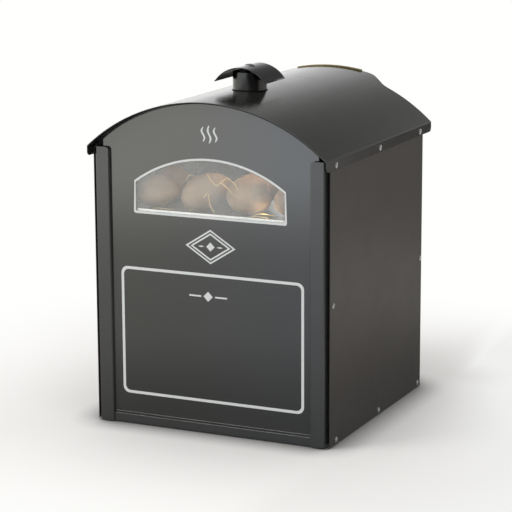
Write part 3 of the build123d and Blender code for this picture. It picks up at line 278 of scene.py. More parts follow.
def make_materials():
    return {
        "brown_enamel": enamel("brown_enamel", (0.046, 0.040, 0.0345), 0.36, 0.5),
        "dark_enamel": enamel("dark_enamel", (0.040, 0.041, 0.041), 0.25, 1.0),
        "roof_enamel": enamel("roof_enamel", (0.015, 0.0152, 0.0130), 0.19, 0.85),
        "chimney_enamel": enamel("chimney_enamel", (0.009, 0.009, 0.0088), 0.16, 0.5),
        # The flue's black is darker than the cowl's and the roof's paint: partly its own colour, partly painted shade
        # from the cowl.
        "flue_enamel_and_shade": enamel("flue_enamel_and_shade", (0.0035, 0.0035, 0.0035), 0.18, 0.8),
        # Near-black dull paint; on the cowl bridge it is painted shade, so the bridge sinks into the dark under the
        # cowl.
        "dull_black": enamel("dull_black", (0.006, 0.006, 0.006), 0.6, 0.12),
        # A near-white moulding used as painted highlight along the sill.
        "painted_highlight_white": moulding("painted_highlight_white", (0.97, 0.97, 0.955), 0.30, 0.01),
        "glossy_panel": enamel("glossy_panel", (0.028, 0.028, 0.027), 0.09, 1.0, peel=0.004, coat=1.0),
        "clear_glass": clear_glass("clear_glass", (0.97, 0.98, 0.975), 0.135),
        "door_glass": clear_glass("door_glass", (0.97, 0.98, 0.975), 0.05),
        "lamp_glass": clear_glass("lamp_glass", (0.99, 0.97, 0.93), 0.02),
        "brass": metal("brass", (0.30, 0.235, 0.085), 0.38, (0.05, 1, 1)),
        "stainless": metal("stainless", (0.78, 0.78, 0.77), 0.18),
        "bright_steel": metal("bright_steel", (0.66, 0.65, 0.63), 0.30, (0.04, 1, 1)),
        "oven_steel": metal("oven_steel", (0.44, 0.43, 0.41), 0.38, (1, 0.04, 1), tint=(0.36, 0.29, 0.20)),
        "chromed_wire": metal("chromed_wire", (0.72, 0.72, 0.73), 0.14),
        "element_sheath": metal("element_sheath", (0.17, 0.16, 0.15), 0.5, tint=(0.12, 0.09, 0.08), depth=0.05),
        "mineral_wool": mineral_wool(),
        "ceramic": fired_ceramic(),
        "potato_skin": potato_skin(),
        "rubber": moulding("rubber", (0.022, 0.022, 0.022), 0.75),
        "seal_rubber": moulding("seal_rubber", (0.050, 0.048, 0.048), 0.6),
        "black_plastic": moulding("black_plastic", (0.020, 0.020, 0.020), 0.42),
        "rocker_plastic": moulding("rocker_plastic", (0.022, 0.022, 0.024), 0.18, 0.005),
        "lens_plastic": glowing("lens_plastic", (1.0, 0.32, 0.05), 0.35, (0.70, 0.22, 0.04)),
        "filament": glowing("filament", (1.0, 0.60, 0.25), 30.0, (0.9, 0.7, 0.4)),
        "ink": printed_ink(),
        "straw": straw_blade(),
    }


# ------------------------------------------------------------------ making pieces
def piece(name, mesh, material, body, replaces=(), smooth=35):
    """An object of the part: it rides on a body, takes a material, and may stand for CAD nodes."""
    made = bpy.data.objects.new(name, mesh)
    bpy.context.scene.collection.objects.link(made)
    mesh.materials.clear()
    mesh.materials.append(MATERIALS[material])
    if smooth:
        mesh.shade_smooth()
        mesh.set_sharp_from_angle(angle=math.radians(smooth))
    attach(made, body)
    if replaces:
        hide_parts(*replaces)
    return made


def mesh_from(name, build):
    """A mesh that a function fills in."""
    mesh = bpy.data.meshes.new(name)
    bm = bmesh.new()
    build(bm)
    bmesh.ops.recalc_face_normals(bm, faces=bm.faces)
    bm.to_mesh(mesh)
    bm.free()
    return mesh


def slot_of(node):
    return next(row["material_slot"] for row in frame["record"]["subparts"] if row["node"] == node)


# Materials that take the place of a node's slot. Two of them are painted shade under the cowl: dull black on the cowl
# bridge and the near-black flue paint.
FINISHES_AND_PAINTED_SHADE = {
    "flue_pipe": "flue_enamel_and_shade", "cowl": "chimney_enamel", "cowl_bridge": "dull_black", "display_door_glass": "door_glass",
}


def softened(node, width, segments=2):
    """A copy of a CAD piece with rounded edges, which stands for it."""
    mesh = NODES[node].data.copy()
    mesh.name = node + "_skin"
    bm = bmesh.new()
    bm.from_mesh(mesh)
    bmesh.ops.remove_doubles(bm, verts=bm.verts, dist=0.002 * MM)
    bmesh.ops.dissolve_limit(bm, angle_limit=math.radians(0.4), verts=bm.verts, edges=bm.edges)
    bm.to_mesh(mesh)
    bm.free()
    finish = FINISHES_AND_PAINTED_SHADE.get(node, slot_of(node))
    made = piece(node + "_skin", mesh, finish, NODES[node]["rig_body"], [node], 0)
    mesh.shade_smooth()
    round_edges(made, width, segments)
    return made


def round_edges(made, width, segments=2):
    bevel = made.modifiers.new("edges", "BEVEL")
    bevel.width = width * MM
    bevel.segments = segments
    bevel.limit_method = "ANGLE"
    bevel.angle_limit = math.radians(40)
    bevel.use_clamp_overlap = True
    shading = made.modifiers.new("shading", "WEIGHTED_NORMAL")
    shading.weight = 100
    shading.keep_sharp = False


def painted(node):
    """A CAD piece that stays as it is, with its finish."""
    NODES[node].data.materials.clear()
    NODES[node].data.materials.append(MATERIALS[slot_of(node)])


def lathe(bm, profile, place, turns=48):
    """A profile of (radius, height) points turned about the local Z axis of a placing matrix."""
    rings = []
    for radius, height in profile:
        if radius < 1e-7:
            rings.append([bm.verts.new(place @ Vector((0, 0, height)))])
            continue
        angles = [2 * math.pi * i / turns for i in range(turns)]
        rings.append([bm.verts.new(place @ Vector((radius * math.cos(a), radius * math.sin(a), height))) for a in angles])
    for low, high in zip(rings, rings[1:]):
        for i in range(turns):
            corners = [low[i % len(low)], low[(i + 1) % len(low)], high[(i + 1) % len(high)], high[i % len(high)]]
            corners = list(dict.fromkeys(corners))
            if len(corners) > 2:
                bm.faces.new(corners)


def facing(direction, at):
    """A matrix whose local Z points in a direction."""
    return Matrix.Translation(Vector(at)) @ Vector(direction).to_track_quat("Z", "Y").to_matrix().to_4x4()


def tube(bm, points, radius, sides=16, closed=False):
    """A round bar along points, with flat ends."""
    count = len(points)
    rings = []
    side = None
    for i, point in enumerate(points):
        ahead = points[(i + 1) % count] if closed or i < count - 1 else points[i]
        behind = points[i - 1] if closed or i > 0 else points[i]
        along = (Vector(ahead) - Vector(behind)).normalized()
        if side is None:
            side = along.orthogonal().normalized()
        side = (side - along * side.dot(along)).normalized()
        other = along.cross(side)
        angles = [2 * math.pi * k / sides for k in range(sides)]
        rings.append([bm.verts.new(Vector(point) + (side * math.cos(a) + other * math.sin(a)) * radius) for a in angles])
    pairs = list(zip(rings, rings[1:])) + ([(rings[-1], rings[0])] if closed else [])
    for low, high in pairs:
        for k in range(sides):
            bm.faces.new((low[k], low[(k + 1) % sides], high[(k + 1) % sides], high[k]))
    if not closed:
        bm.faces.new(rings[0])
        bm.faces.new(rings[-1])


def middle(node):
    low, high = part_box(node)
    return (low + high) / 2


def islands(node):
    """The corner points of each separate solid of a CAD node."""
    bm = bmesh.new()
    bm.from_mesh(NODES[node].data)
    bmesh.ops.remove_doubles(bm, verts=bm.verts, dist=0.002 * MM)
    bm.verts.ensure_lookup_table()
    left, found = set(bm.verts), []
    while left:
        group, edge = set(), [min(left, key=lambda v: v.index)]
        while edge:
            vert = edge.pop()
            if vert in group:
                continue
            group.add(vert)
            edge += [e.other_vert(vert) for e in vert.link_edges]
        left -= group
        found.append([vert.co.copy() for vert in sorted(group, key=lambda v: v.index)])
    bm.free()
    return found


def box_of(points):
    low = Vector([min(p[i] for p in points) for i in range(3)])
    high = Vector([max(p[i] for p in points) for i in range(3)])
    return low, high


# ------------------------------------------------------------------ window contents
def long_axis(points):
    """Middle and longest direction of a cloud of points."""
    centre = sum(points, Vector()) / len(points)
    axis = max(points, key=lambda p: (p - centre).length) - centre
    for _ in range(12):
        axis = sum(((p - centre) * (p - centre).dot(axis) for p in points), Vector()).normalized()
    return centre, axis


def potato_mesh(name, points, seed):
    """One potato on the space of its CAD solid: an egg form with lumps, dimpled eyes and wrinkles."""
    centre, axis = long_axis(points)
    reach = [(p - centre).dot(axis) for p in points]
    ahead, behind = max(reach), -min(reach)
    girth = max(((p - centre) - axis * (p - centre).dot(axis)).length for p in points)
    place = facing(axis, centre)
    drift = Vector((seed * 7.3, seed * 3.1, -seed * 5.7))
    rng = random.Random(seed)
    eyes = [Vector([rng.gauss(0, 1) for _ in range(3)]).normalized() for _ in range(9)]

    def build(bm):
        bmesh.ops.create_icosphere(bm, subdivisions=5, radius=1.0)
        for vert in bm.verts:
            out = vert.co.normalized()
            broad = noise.noise(out * 1.3 + drift) * 0.07
            lumps = noise.noise(out * 3.1 + drift) * 0.035
            crease = abs(noise.noise(Vector((out.x * 9, out.y * 9, out.z * 4)) + drift)) * 0.012
            dip = sum(0.055 * math.exp(-((out - eye).length / 0.13) ** 2) for eye in eyes)
            size = 0.975 + broad + lumps - crease - dip
            length = ahead if out.z > 0 else behind
            vert.co = place @ Vector((out.x * girth * size, out.y * girth * size, out.z * length * size * 1.02))

    return mesh_from(name, build)


def make_potatoes():
    solids = islands("display_potatoes")
    for number, points in enumerate(sorted(solids, key=lambda p: (box_of(p)[0].x, box_of(p)[0].y))):
        mesh = potato_mesh(f"potato_{number + 1}", points, number + 3)
        replaces = ["display_potatoes"] if number == 0 else []
        piece(f"potato_{number + 1}", mesh, "potato_skin", CABINET, replaces, 180)


# ------------------------------------------------------------------ fasteners
SCREW_RISE = 2.6 * MM


def dome(radius, rise, steps=8):
    """Profile of a low domed head with a short upright rim."""
    rim = rise * 0.28
    ball = (radius**2 + (rise - rim) ** 2) / (2 * (rise - rim))
    spread_angle = math.asin(radius / ball)
    points = [(0, 0), (radius, 0), (radius, rim)]
    for i in range(1, steps + 1):
        angle = spread_angle * (1 - i / steps)
        points.append((ball * math.sin(angle), rim + ball * math.cos(angle) - (ball - (rise - rim))))
    return points


def recessed(profile, radius):
    """The profile with a round drive recess in place of its crown."""
    mouth, depth = radius * 0.34, profile[-1][1] * 0.40
    outside = [(r, z) for r, z in profile if r > mouth or z == 0]
    rim = outside[-1][1] + (profile[-1][1] - outside[-1][1]) * 0.6
    return [*outside, (mouth, rim), (mouth * 0.88, rim - depth), (0, rim - depth)]


def make_casing_screws():
    def build(bm):
        for points in islands("casing_screws"):
            low, high = box_of(points)
            centre = (low + high) / 2
            outward = 1 if centre.x > 0 else -1
            seat = low.x if outward > 0 else high.x
            radius = (high.z - low.z) / 2
            place = facing((outward, 0, 0), (seat, centre.y, centre.z))
            lathe(bm, recessed(dome(radius, high.x - low.x), radius), place, 32)

    piece("casing_screw_heads", mesh_from("casing_screw_heads", build), "stainless", CABINET, ["casing_screws"])


def make_cowl_screw():
    low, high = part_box("cowl_screw")
    centre = (low + high) / 2
    rise = 3.0 * MM
    shank = 2.5 * MM

    def build(bm):
        lathe(bm, dome((high.x - low.x) / 2, rise, 10), facing((0, 0, 1), (centre.x, centre.y, high.z - rise)), 40)
        lathe(bm, [(0, 0), (shank, 0), (shank, high.z - rise - low.z), (0, high.z - rise - low.z)],
              facing((0, 0, 1), (centre.x, centre.y, low.z)), 20)

    piece("cowl_screw_head", mesh_from("cowl_screw_head", build), "stainless", CABINET, ["cowl_screw"])


# ------------------------------------------------------------------ edges, beads, seams and painted highlights
HEM = 1.4 * MM
BEAD = 1.3 * MM


def roof_circle():
    """Radius of the roof's outer face and the height of its centre."""
    top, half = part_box("roof")[1].z, 215 * MM
    side = max(v.co.z for v in NODES["roof"].data.vertices if abs(v.co.x) > half)
    reach = min(abs(v.co.x) for v in NODES["roof"].data.vertices if abs(v.co.x) > half and v.co.z > side - 0.01 * MM)
    radius = (reach**2 + (top - side) ** 2) / (2 * (top - side))
    return radius, top - radius


def make_roof_hem():
    """The safe edge folded under the roof's front end."""
    radius, centre = roof_circle()
    front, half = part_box("roof")[0].y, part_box("roof")[1].x
    bend = radius - HEM * 1.3
    reach = math.degrees(math.asin((half - 2 * MM) / radius))
    points = [(x, front + HEM * 1.1, z) for x, z in arc((0, centre), bend, 90 - reach, 90 + reach, 72)]

    def build(bm):
        tube(bm, points, HEM, 12)

    piece("roof_front_hem", mesh_from("roof_front_hem", build), "dull_black", CABINET, smooth=60)


def make_cowl_hems():
    """Rolled edges along the cowl's two eaves."""
    low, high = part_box("cowl")

    def build(bm):
        for x in (low.x + HEM * 0.5, high.x - HEM * 0.5):
            rod(bm, (x, low.y + 0.4 * MM, low.z + HEM * 0.6), (x, high.y - 0.4 * MM, low.z + HEM * 0.6), HEM, 16)

    piece("cowl_hems", mesh_from("cowl_hems", build), "chimney_enamel", CABINET, smooth=50)


def make_flue_bead():
    """The weld that runs round the flue where it leaves the roof."""
    radius, centre = roof_circle()
    low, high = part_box("flue_pipe")
    bore, middle_y = (high.x - low.x) / 2 + BEAD * 0.2, (low.y + high.y) / 2
    points = []
    for i in range(72):
        angle = 2 * math.pi * i / 72
        x = bore * math.cos(angle)
        points.append((x, middle_y + bore * math.sin(angle), centre + math.sqrt(radius**2 - x**2) + BEAD * 0.2))

    def build(bm):
        tube(bm, points, BEAD, 12, closed=True)

    piece("flue_weld", mesh_from("flue_weld", build), "dull_black", CABINET, smooth=60)


def make_sill_highlight():
    """A near-white strip along the sill behind the glass and a thin one under the glass's lower edge: painted
    highlight for the lip's bright edge.
    """
    low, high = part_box("window_glass")
    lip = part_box("display_floor")[1].z

    def build(bm):
        slab(bm, (low.x + 1 * MM, high.y + 0.2 * MM, low.z + 0.1 * MM), (high.x - 1 * MM, high.y + 1.7 * MM, lip + 0.6 * MM), 0.4 * MM)
        slab(bm, (low.x + 1 * MM, low.y, low.z - 0.28 * MM), (high.x - 1 * MM, high.y + 1.7 * MM, low.z - 0.04 * MM), 0.1 * MM)

    piece("sill_highlight_strip", mesh_from("sill_highlight_strip", build), "painted_highlight_white", CABINET, smooth=40)


def make_rail_highlights():
    """Two thin bright steel lines: painted highlight on the bottom rail's top edge, and above it painted reflection of
    that edge in the glossy panel.
    """
    low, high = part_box("front_rail")
    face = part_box("front_panel")[0].y

    def build(bm):
        for z, y in ((high.z + 0.25 * MM, low.y + 0.4 * MM), (high.z + 4.6 * MM, face)):
            tube(bm, [(low.x + 1 * MM, y, z), (high.x - 1 * MM, y, z)], 0.35 * MM, 8)

    piece("rail_highlight_lines", mesh_from("rail_highlight_lines", build), "bright_steel", CABINET, smooth=60)


def make_visor_trim():
    """The brass edging, its outer face standing a little proud of the roof."""
    radius, centre = roof_circle()
    mesh = NODES["visor_trim"].data.copy()
    for vert in mesh.vertices:
        out = Vector((vert.co.x, vert.co.z - centre))
        if out.length > radius + 0.3 * MM:
            out = out.normalized() * (out.length + 1.0 * MM)
            vert.co.x, vert.co.z = out.x, centre + out.y
    made = piece("brass_edging", mesh, "brass", CABINET, ["visor_trim"], 0)
    mesh.shade_smooth()
    round_edges(made, 0.35)


# ------------------------------------------------------------------ lamp
def make_lamp():
    low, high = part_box("lamp")
    x, y = (low.x + high.x) / 2, (low.y + high.y) / 2
    wide, tall = (high.x - low.x) / 2, high.z - low.z
    bulb = [(0, 0), (0.42, 0.03), (0.72, 0.12), (0.93, 0.28), (1.0, 0.46), (0.96, 0.64), (0.80, 0.82), (0.62, 0.93),
            (0.58, 1.0), (0, 1.0)]

    def glass(bm):
        lathe(bm, [(r * wide, t * tall) for r, t in bulb], Matrix.Translation((x, y, low.z)), 48)

    def filament(bm):
        turns, steps, reach = 7, 84, 5.5 * MM
        coil = []
        for i in range(steps + 1):
            share = i / steps
            angle = 2 * math.pi * turns * share
            coil.append((x + (share * 2 - 1) * reach, y + 1.1 * MM * math.cos(angle),
                         low.z + 0.42 * tall + 1.1 * MM * math.sin(angle)))
        tube(bm, coil, 0.3 * MM, 6)
        for side in (-1, 1):
            foot = (x + side * 3 * MM, y, high.z - 1 * MM)
            tube(bm, [foot, (x + side * reach, y, low.z + 0.42 * tall)], 0.35 * MM, 6)

    piece("lamp_glass", mesh_from("lamp_glass", glass), "lamp_glass", CABINET, ["lamp"], 60)
    piece("lamp_filament", mesh_from("lamp_filament", filament), "filament", CABINET)


# ------------------------------------------------------------------ straw among the potatoes
STRAW_RADIUS = 1.0 * MM
# One stalk to a line: its points as (x, depth behind the panel's face, height above the display floor).
STRAW_STALKS = (
    ((-62, 34, 3), (-40, 26, 14), (-24, 20, 34), (-14, 18, 44)),
    ((-12, 18, 42), (-10, 22, 20), (-2, 26, 4)),
    ((-20, 30, 80), (-8, 26, 66), (4, 24, 58), (22, 24, 74)),
    ((14, 22, 66), (28, 20, 58), (40, 20, 46)),
    ((20, 30, 76), (42, 26, 66), (54, 22, 50)),
    ((74, 20, 3), (92, 18, 7), (118, 18, 5)),
    ((78, 30, 5), (100, 22, 13), (128, 24, 9)),
    ((-140, 30, 3), (-118, 24, 6), (-92, 26, 4)),
    ((-80, 60, 60), (-66, 48, 74), (-48, 44, 66)),
)


def make_straw():
    face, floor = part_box("front_panel")[1].y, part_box("display_floor")[1].z - 6.3 * MM

    def build(bm):
        for stalk in STRAW_STALKS:
            knots = [Vector((x * MM, face + depth * MM, floor + height * MM)) for x, depth, height in stalk]
            points = []
            for a, b in zip(knots, knots[1:]):
                points += [a.lerp(b, i / 6) for i in range(6)]
            points.append(knots[-1])
            for _ in range(3):
                inner = [(points[i - 1] + points[i] * 2 + points[i + 1]) / 4 for i in range(1, len(points) - 1)]
                points = [points[0], *inner, points[-1]]
            tube(bm, points, STRAW_RADIUS, 8)

    piece("straw", mesh_from("straw", build), "straw", CABINET, smooth=60)


# ------------------------------------------------------------------ oven racks and elements
def rod(bm, start, end, radius, sides=16):
    """A straight bar with rounded end edges."""
    start, end = Vector(start), Vector(end)
    length = (end - start).length
    soft = radius * 0.3
    profile = [(0, 0), (radius - soft, 0), (radius, soft), (radius, length - soft), (radius - soft, length), (0, length)]
    lathe(bm, profile, facing(end - start, start), sides)


def make_racks():
    """Flat-bar frames with round wires welded across them."""
    bar, corner, wire, wires = 8.0 * MM, 12.0 * MM, 1.75 * MM, 10

    def build(bm):
        for points in islands("oven_racks"):
            low, high = box_of(points)
            top = high.z - wire
            half, depth = (high.x - low.x) / 2, (high.y - low.y) / 2
            middle_y = (low.y + high.y) / 2

            def loop(inset, z):
                turn = max(corner - inset, 2 * MM)
                ring = rounded_rectangle(half - inset, -depth + inset, depth - inset, turn)
                return [bm.verts.new((x, middle_y + y, z)) for x, y in ring]

            edge = 0.5 * MM
            rings = [loop(edge, low.z), loop(0, low.z + edge), loop(0, top - edge), loop(edge, top),
                     loop(bar - edge, top), loop(bar, top - edge), loop(bar, low.z + edge), loop(bar - edge, low.z)]
            for a, b in zip(rings, rings[1:] + rings[:1]):
                for i in range(len(a)):
                    k = (i + 1) % len(a)
                    bm.faces.new((a[i], a[k], b[k], b[i]))
            inner = 2 * (half - bar)
            for i in range(wires):
                x = (i + 1) * inner / (wires + 1) - inner / 2
                rod(bm, (x, low.y + bar / 2, top), (x, high.y - bar / 2, top), wire, 16)

    piece("rack_wires", mesh_from("rack_wires", build), "chromed_wire", CABINET, ["oven_racks"], 40)


ELEMENT_RADIUS = 4.0 * MM
ELEMENT_PITCH = 60.0 * MM


def make_element(node):
    """A sheathed element bent to and fro from its plates on the end wall."""
    low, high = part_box(node)
    z = (low.z + high.z) / 2
    plate_half = (high.z - low.z) / 2
    first, last = low.x + plate_half, high.x - plate_half
    runs = round((last - first) / ELEMENT_PITCH) + 1
    bend = ELEMENT_PITCH / 2
    plate_face = low.y + 2.0 * MM
    far, near = high.y - ELEMENT_RADIUS - bend, low.y + 25.0 * MM + bend
    points = [(first, plate_face - 1 * MM, z)]
    for i in range(runs - 1):
        turn, side = (far, 1) if i % 2 == 0 else (near, -1)
        centre = first + ELEMENT_PITCH * (i + 0.5)
        for step in range(17):
            angle = math.pi * step / 16
            points.append((centre - bend * math.cos(angle), turn + side * bend * math.sin(angle), z))
    points.append((last, plate_face - 1 * MM, z))

    def build(bm):
        tube(bm, points, ELEMENT_RADIUS, 20)
        for x in (first, last):
            slab(bm, (x - plate_half, low.y, z - plate_half), (x + plate_half, plate_face, z + plate_half), 0.4 * MM)
            lathe(bm, [(0, 0), (6.2 * MM, 0), (6.2 * MM, 3 * MM), (5.4 * MM, 3.6 * MM), (0, 3.6 * MM)],
                  facing((0, 1, 0), (x, plate_face, z)), 6)

    piece(node + "_tube", mesh_from(node + "_tube", build), "element_sheath", CABINET, [node], 50)


def slab(bm, low, high, edge):
    """A box with softened edges."""
    low, high = Vector(low), Vector(high)
    made = bmesh.ops.create_cube(bm, size=1.0)["verts"]
    for vert in made:
        vert.co = Vector([(low[i] + high[i]) / 2 + vert.co[i] * (high[i] - low[i]) for i in range(3)])
    edges = list({e for v in made for e in v.link_edges})
    bmesh.ops.bevel(bm, geom=edges, offset=edge, segments=2, profile=0.5, affect="EDGES")


# ------------------------------------------------------------------ handles
def foot_centres(node, y):
    """Centres of a handle's posts where they leave the door."""
    feet = [v.co for v in NODES[node].data.vertices if abs(v.co.y - y) < 0.05 * MM]
    middle_of = sum(feet, Vector()) / len(feet)
    long_way = max(range(3), key=lambda i: max(f[i] for f in feet) - min(f[i] for f in feet))
    sides = [[f for f in feet if (f[long_way] > middle_of[long_way]) == side] for side in (False, True)]
    return [sum(side, Vector()) / len(side) for side in sides], long_way


def make_handle(node, post):
    """A round bar on two posts, each with a collar."""
    low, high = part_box(node)
    feet, way = foot_centres(node, low.y)
    radius = min(high.x - low.x, high.z - low.z) / 2
    bar_y = high.y - radius
    start, end = Vector(feet[0]), Vector(feet[0])
    start.y = end.y = bar_y
    start[way], end[way] = low[way], high[way]

    def build(bm):
        rod(bm, start, end, radius, 40)
        for foot in feet:
            rod(bm, foot, (foot.x, bar_y, foot.z), post, 28)
            collar = [(post, 0), (post * 1.5, 0), (post * 1.5, 1.2 * MM), (post * 1.25, 2.2 * MM), (post, 2.6 * MM)]
            lathe(bm, collar, facing((0, 1, 0), foot), 28)

    body = NODES[node]["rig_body"]
    piece(node + "_bar", mesh_from(node + "_bar", build), slot_of(node), body, [node], 40)


# ------------------------------------------------------------------ controls
DIAL_NUMBERS = {
    "thermostat": [(0, "0"), (50, "50"), (100, "100"), (150, "150"), (200, "200"), (250, "250"), (300, "300")],
    "timer": [(0, "0"), (66, "30"), (132, "60"), (198, "90"), (264, "120"), (330, "150")],
}
DIAL_TICK = 24.5 * MM
DIAL_TEXT = 28.3 * MM
OPERATOR_TURN = Matrix(((-1, 0, 0), (0, 0, 1), (0, 1, 0))).to_4x4()


def make_knob(node):
    """A fluted knob with a raised grip and a white pointer."""
    low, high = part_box(node)
    centre = (low + high) / 2
    radius, height = (high.x - low.x) / 2, high.y - low.y
    neck, skirt = radius * 0.71, height * 0.14
    place = Matrix.Translation((centre.x, low.y, centre.z)) @ Matrix.Rotation(math.radians(-90), 4, "X")

    def body(bm):
        turns = 96
        profile = [(0, 0), (radius * 0.97, 0), (radius, 0.03 * height), (radius, skirt * 0.8), (radius * 0.97, skirt),
                   (neck * 1.10, skirt * 1.05), (neck * 1.02, skirt * 1.5), (neck * 0.97, height * 0.80),
                   (neck * 0.92, height * 0.86), (0, height * 0.88)]
        lathe(bm, profile, place, turns)
        for vert in bm.verts:
            local = place.inverted() @ vert.co
            reach = math.hypot(local.x, local.y)
            if skirt * 1.3 < local.z < height * 0.83 and reach > neck * 0.5:
                flute = 1 - 0.028 * (0.5 + 0.5 * math.cos(24 * math.atan2(local.y, local.x)))
                vert.co = place @ Vector((local.x * flute, local.y * flute, local.z))
        grip = bmesh.ops.create_cube(bm, size=1.0)["verts"]
        for vert in grip:
            narrow = 0.82 if vert.co.z > 0 else 1.0
            across = Vector((vert.co.x * 8 * MM * narrow, vert.co.y * neck * 2.34, height * (0.80 + 0.20 * vert.co.z)))
            vert.co = place @ across
        edges = list({e for v in grip for e in v.link_edges})
        bmesh.ops.bevel(bm, geom=edges, offset=1.1 * MM, segments=3, profile=0.5, affect="EDGES")

    def pointer(bm):
        slab(bm, (centre.x - 0.9 * MM, high.y - 0.6 * MM, centre.z + neck * 0.25),
             (centre.x + 0.9 * MM, high.y + 0.1 * MM, centre.z + neck * 1.05), 0.15 * MM)

    riding = NODES[node]["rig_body"]
    piece(node + "_body", mesh_from(node + "_body", body), "black_plastic", riding, [node], 40)
    piece(node + "_pointer", mesh_from(node + "_pointer", pointer), "ink", riding, smooth=0)


def lettering(text, size, centre, face):
    """Plain figures as a thin raised mesh on a face that looks towards the operator."""
    curve = bpy.data.curves.new("figures", "FONT")
    curve.body, curve.size, curve.extrude = text, size, PRINT_RISE / 2
    curve.align_x, curve.align_y = "CENTER", "CENTER"
    curve.resolution_u = 3
    holder = bpy.data.objects.new("figures", curve)
    mesh = bpy.data.meshes.new_from_object(holder)
    mesh.transform(Matrix.Translation((centre[0], face + PRINT_RISE / 2, centre[1])) @ OPERATOR_TURN)
    bpy.data.objects.remove(holder)
    bpy.data.curves.remove(curve)
    return mesh


def make_dial_marks():
    """Ticks and plain numbers round each dial."""
    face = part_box("control_panel")[1].y
    bm = bmesh.new()
    for name, marks in DIAL_NUMBERS.items():
        centre = middle(name + "_knob")
        for angle, text in marks:
            turn = math.radians(angle)
            across, up = -math.sin(turn), math.cos(turn)
            mesh = lettering(text, 5.4 * MM, (centre.x + across * DIAL_TEXT * 1.07, centre.z + up * DIAL_TEXT), face)
            bm.from_mesh(mesh)
            bpy.data.meshes.remove(mesh)
            ends = [(centre.x + across * r, face + 0.1 * MM, centre.z + up * r) for r in (DIAL_TICK - 2.4 * MM, DIAL_TICK)]
            tube(bm, ends, 0.3 * MM, 6)
    mesh = bpy.data.meshes.new("dial_marks")
    bm.to_mesh(mesh)
    bm.free()
    piece("dial_marks", mesh, "ink", CABINET, smooth=0)


def make_switch_marks():
    """The usual on and off signs: a bar above and a ring below each switch."""
    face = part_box("control_panel")[1].y

    def build(bm):
        for node in ("power_rocker", "light_rocker"):
            centre = middle(node)
            low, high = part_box("switch_housings")
            above, below = high.z + 3.6 * MM, low.z - 3.6 * MM
            slab(bm, (centre.x - 0.35 * MM, face - 0.05 * MM, above - 1.8 * MM),
                 (centre.x + 0.35 * MM, face + PRINT_RISE, above + 1.8 * MM), 0.05 * MM)
            ring = [(centre.x + 1.7 * MM * math.cos(a), face + 0.05 * MM, below + 1.7 * MM * math.sin(a))
                    for a in [2 * math.pi * i / 24 for i in range(24)]]
            tube(bm, ring, 0.32 * MM, 6, closed=True)

    piece("switch_marks", mesh_from("switch_marks", build), "ink", CABINET, smooth=40)


def make_pilots():
    """Domed lenses with a bezel."""
    def lenses(bm):
        for points in islands("pilot_lenses"):
            low, high = box_of(points)
            centre = (low + high) / 2
            radius, rise = (high.x - low.x) / 2, high.y - low.y
            place = facing((0, 1, 0), (centre.x, low.y, centre.z))
            lathe(bm, [(r * 0.9, z) for r, z in dome(radius, rise, 10)], place, 32)

    def bezels(bm):
        for points in islands("pilot_lenses"):
            low, high = box_of(points)
            centre = (low + high) / 2
            radius = (high.x - low.x) / 2
            ring = [(radius * 0.88, 0.1 * MM), (radius * 1.0, 0.1 * MM), (radius * 1.0, 0.9 * MM), (radius * 0.94, 1.4 * MM),
                    (radius * 0.88, 1.2 * MM), (radius * 0.88, 0.1 * MM)]
            lathe(bm, ring, facing((0, 1, 0), (centre.x, low.y, centre.z)), 32)

    piece("pilot_domes", mesh_from("pilot_domes", lenses), "lens_plastic", CABINET, ["pilot_lenses"], 50)
    piece("pilot_bezels", mesh_from("pilot_bezels", bezels), "black_plastic", CABINET, smooth=40)


# ------------------------------------------------------------------ print on the front
PRINT_RISE = 0.15 * MM
BORDER_LINE = 5.0 * MM
MENU_CENTRE = 2.5 * MM
MENU_HALF = 197.5 * MM
MENU_LOW, MENU_HIGH = 63.4 * MM, 323.2 * MM
MENU_LINE = 5.6 * MM
MENU_CORNER = 14.0 * MM
BADGE_PLACE = (2.0 * MM, 377.0 * MM)
BADGE_HALF = (54.0 * MM, 34.0 * MM)
BADGE_LINE = 3.0 * MM
STEAM_PLACE = (1.5 * MM, 597.0 * MM)
STEAM_HEIGHT = 34.0 * MM
STEAM_PITCH = 13.0 * MM
STEAM_LINE = 4.2 * MM
RULE_PLACE = (-4.0 * MM, 277.5 * MM)
RULE_HALF = 41.0 * MM


def arc(centre, radius, start, end, steps):
    """Points (x, z) on an arc between two angles in degrees."""
    turns = [math.radians(start + (end - start) * i / steps) for i in range(steps + 1)]
    return [(centre[0] + radius * math.cos(a), centre[1] + radius * math.sin(a)) for a in turns]


def rounded_rectangle(half, low, high, corner, centre=0.0, steps=8):
    left, right = centre - half + corner, centre + half - corner
    return [
        *arc((right, low + corner), corner, -90, 0, steps), *arc((right, high - corner), corner, 0, 90, steps),
        *arc((left, high - corner), corner, 90, 180, steps), *arc((left, low + corner), corner, 180, 270, steps),
    ]


def window_ring(grow):
    """Points (x, z) round the window's aperture, grown outwards."""
    low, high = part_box("window_glass")
    half, sill, apex = high.x, low.z, high.z
    shoulder = max(v.co.z for v in NODES["window_glass"].data.vertices if abs(v.co.x) > half - 0.05 * MM)
    rise = apex - shoulder
    radius = (half**2 + rise**2) / (2 * rise)
    reach = math.degrees(math.asin(half / radius))
    half, sill, radius, corner = half + grow, sill - grow, radius + grow, 3.0 * MM + grow * 0.3
    top = arc((0, apex + grow - radius), radius, 90 - reach, 90 + reach, 48)
    top = [(max(-half, min(half, x)), z) for x, z in top]
    left = arc((-half + corner, sill + corner), corner, 180, 270, 6)
    right = arc((half - corner, sill + corner), corner, -90, 0, 6)
    return [*top, *left, *right]


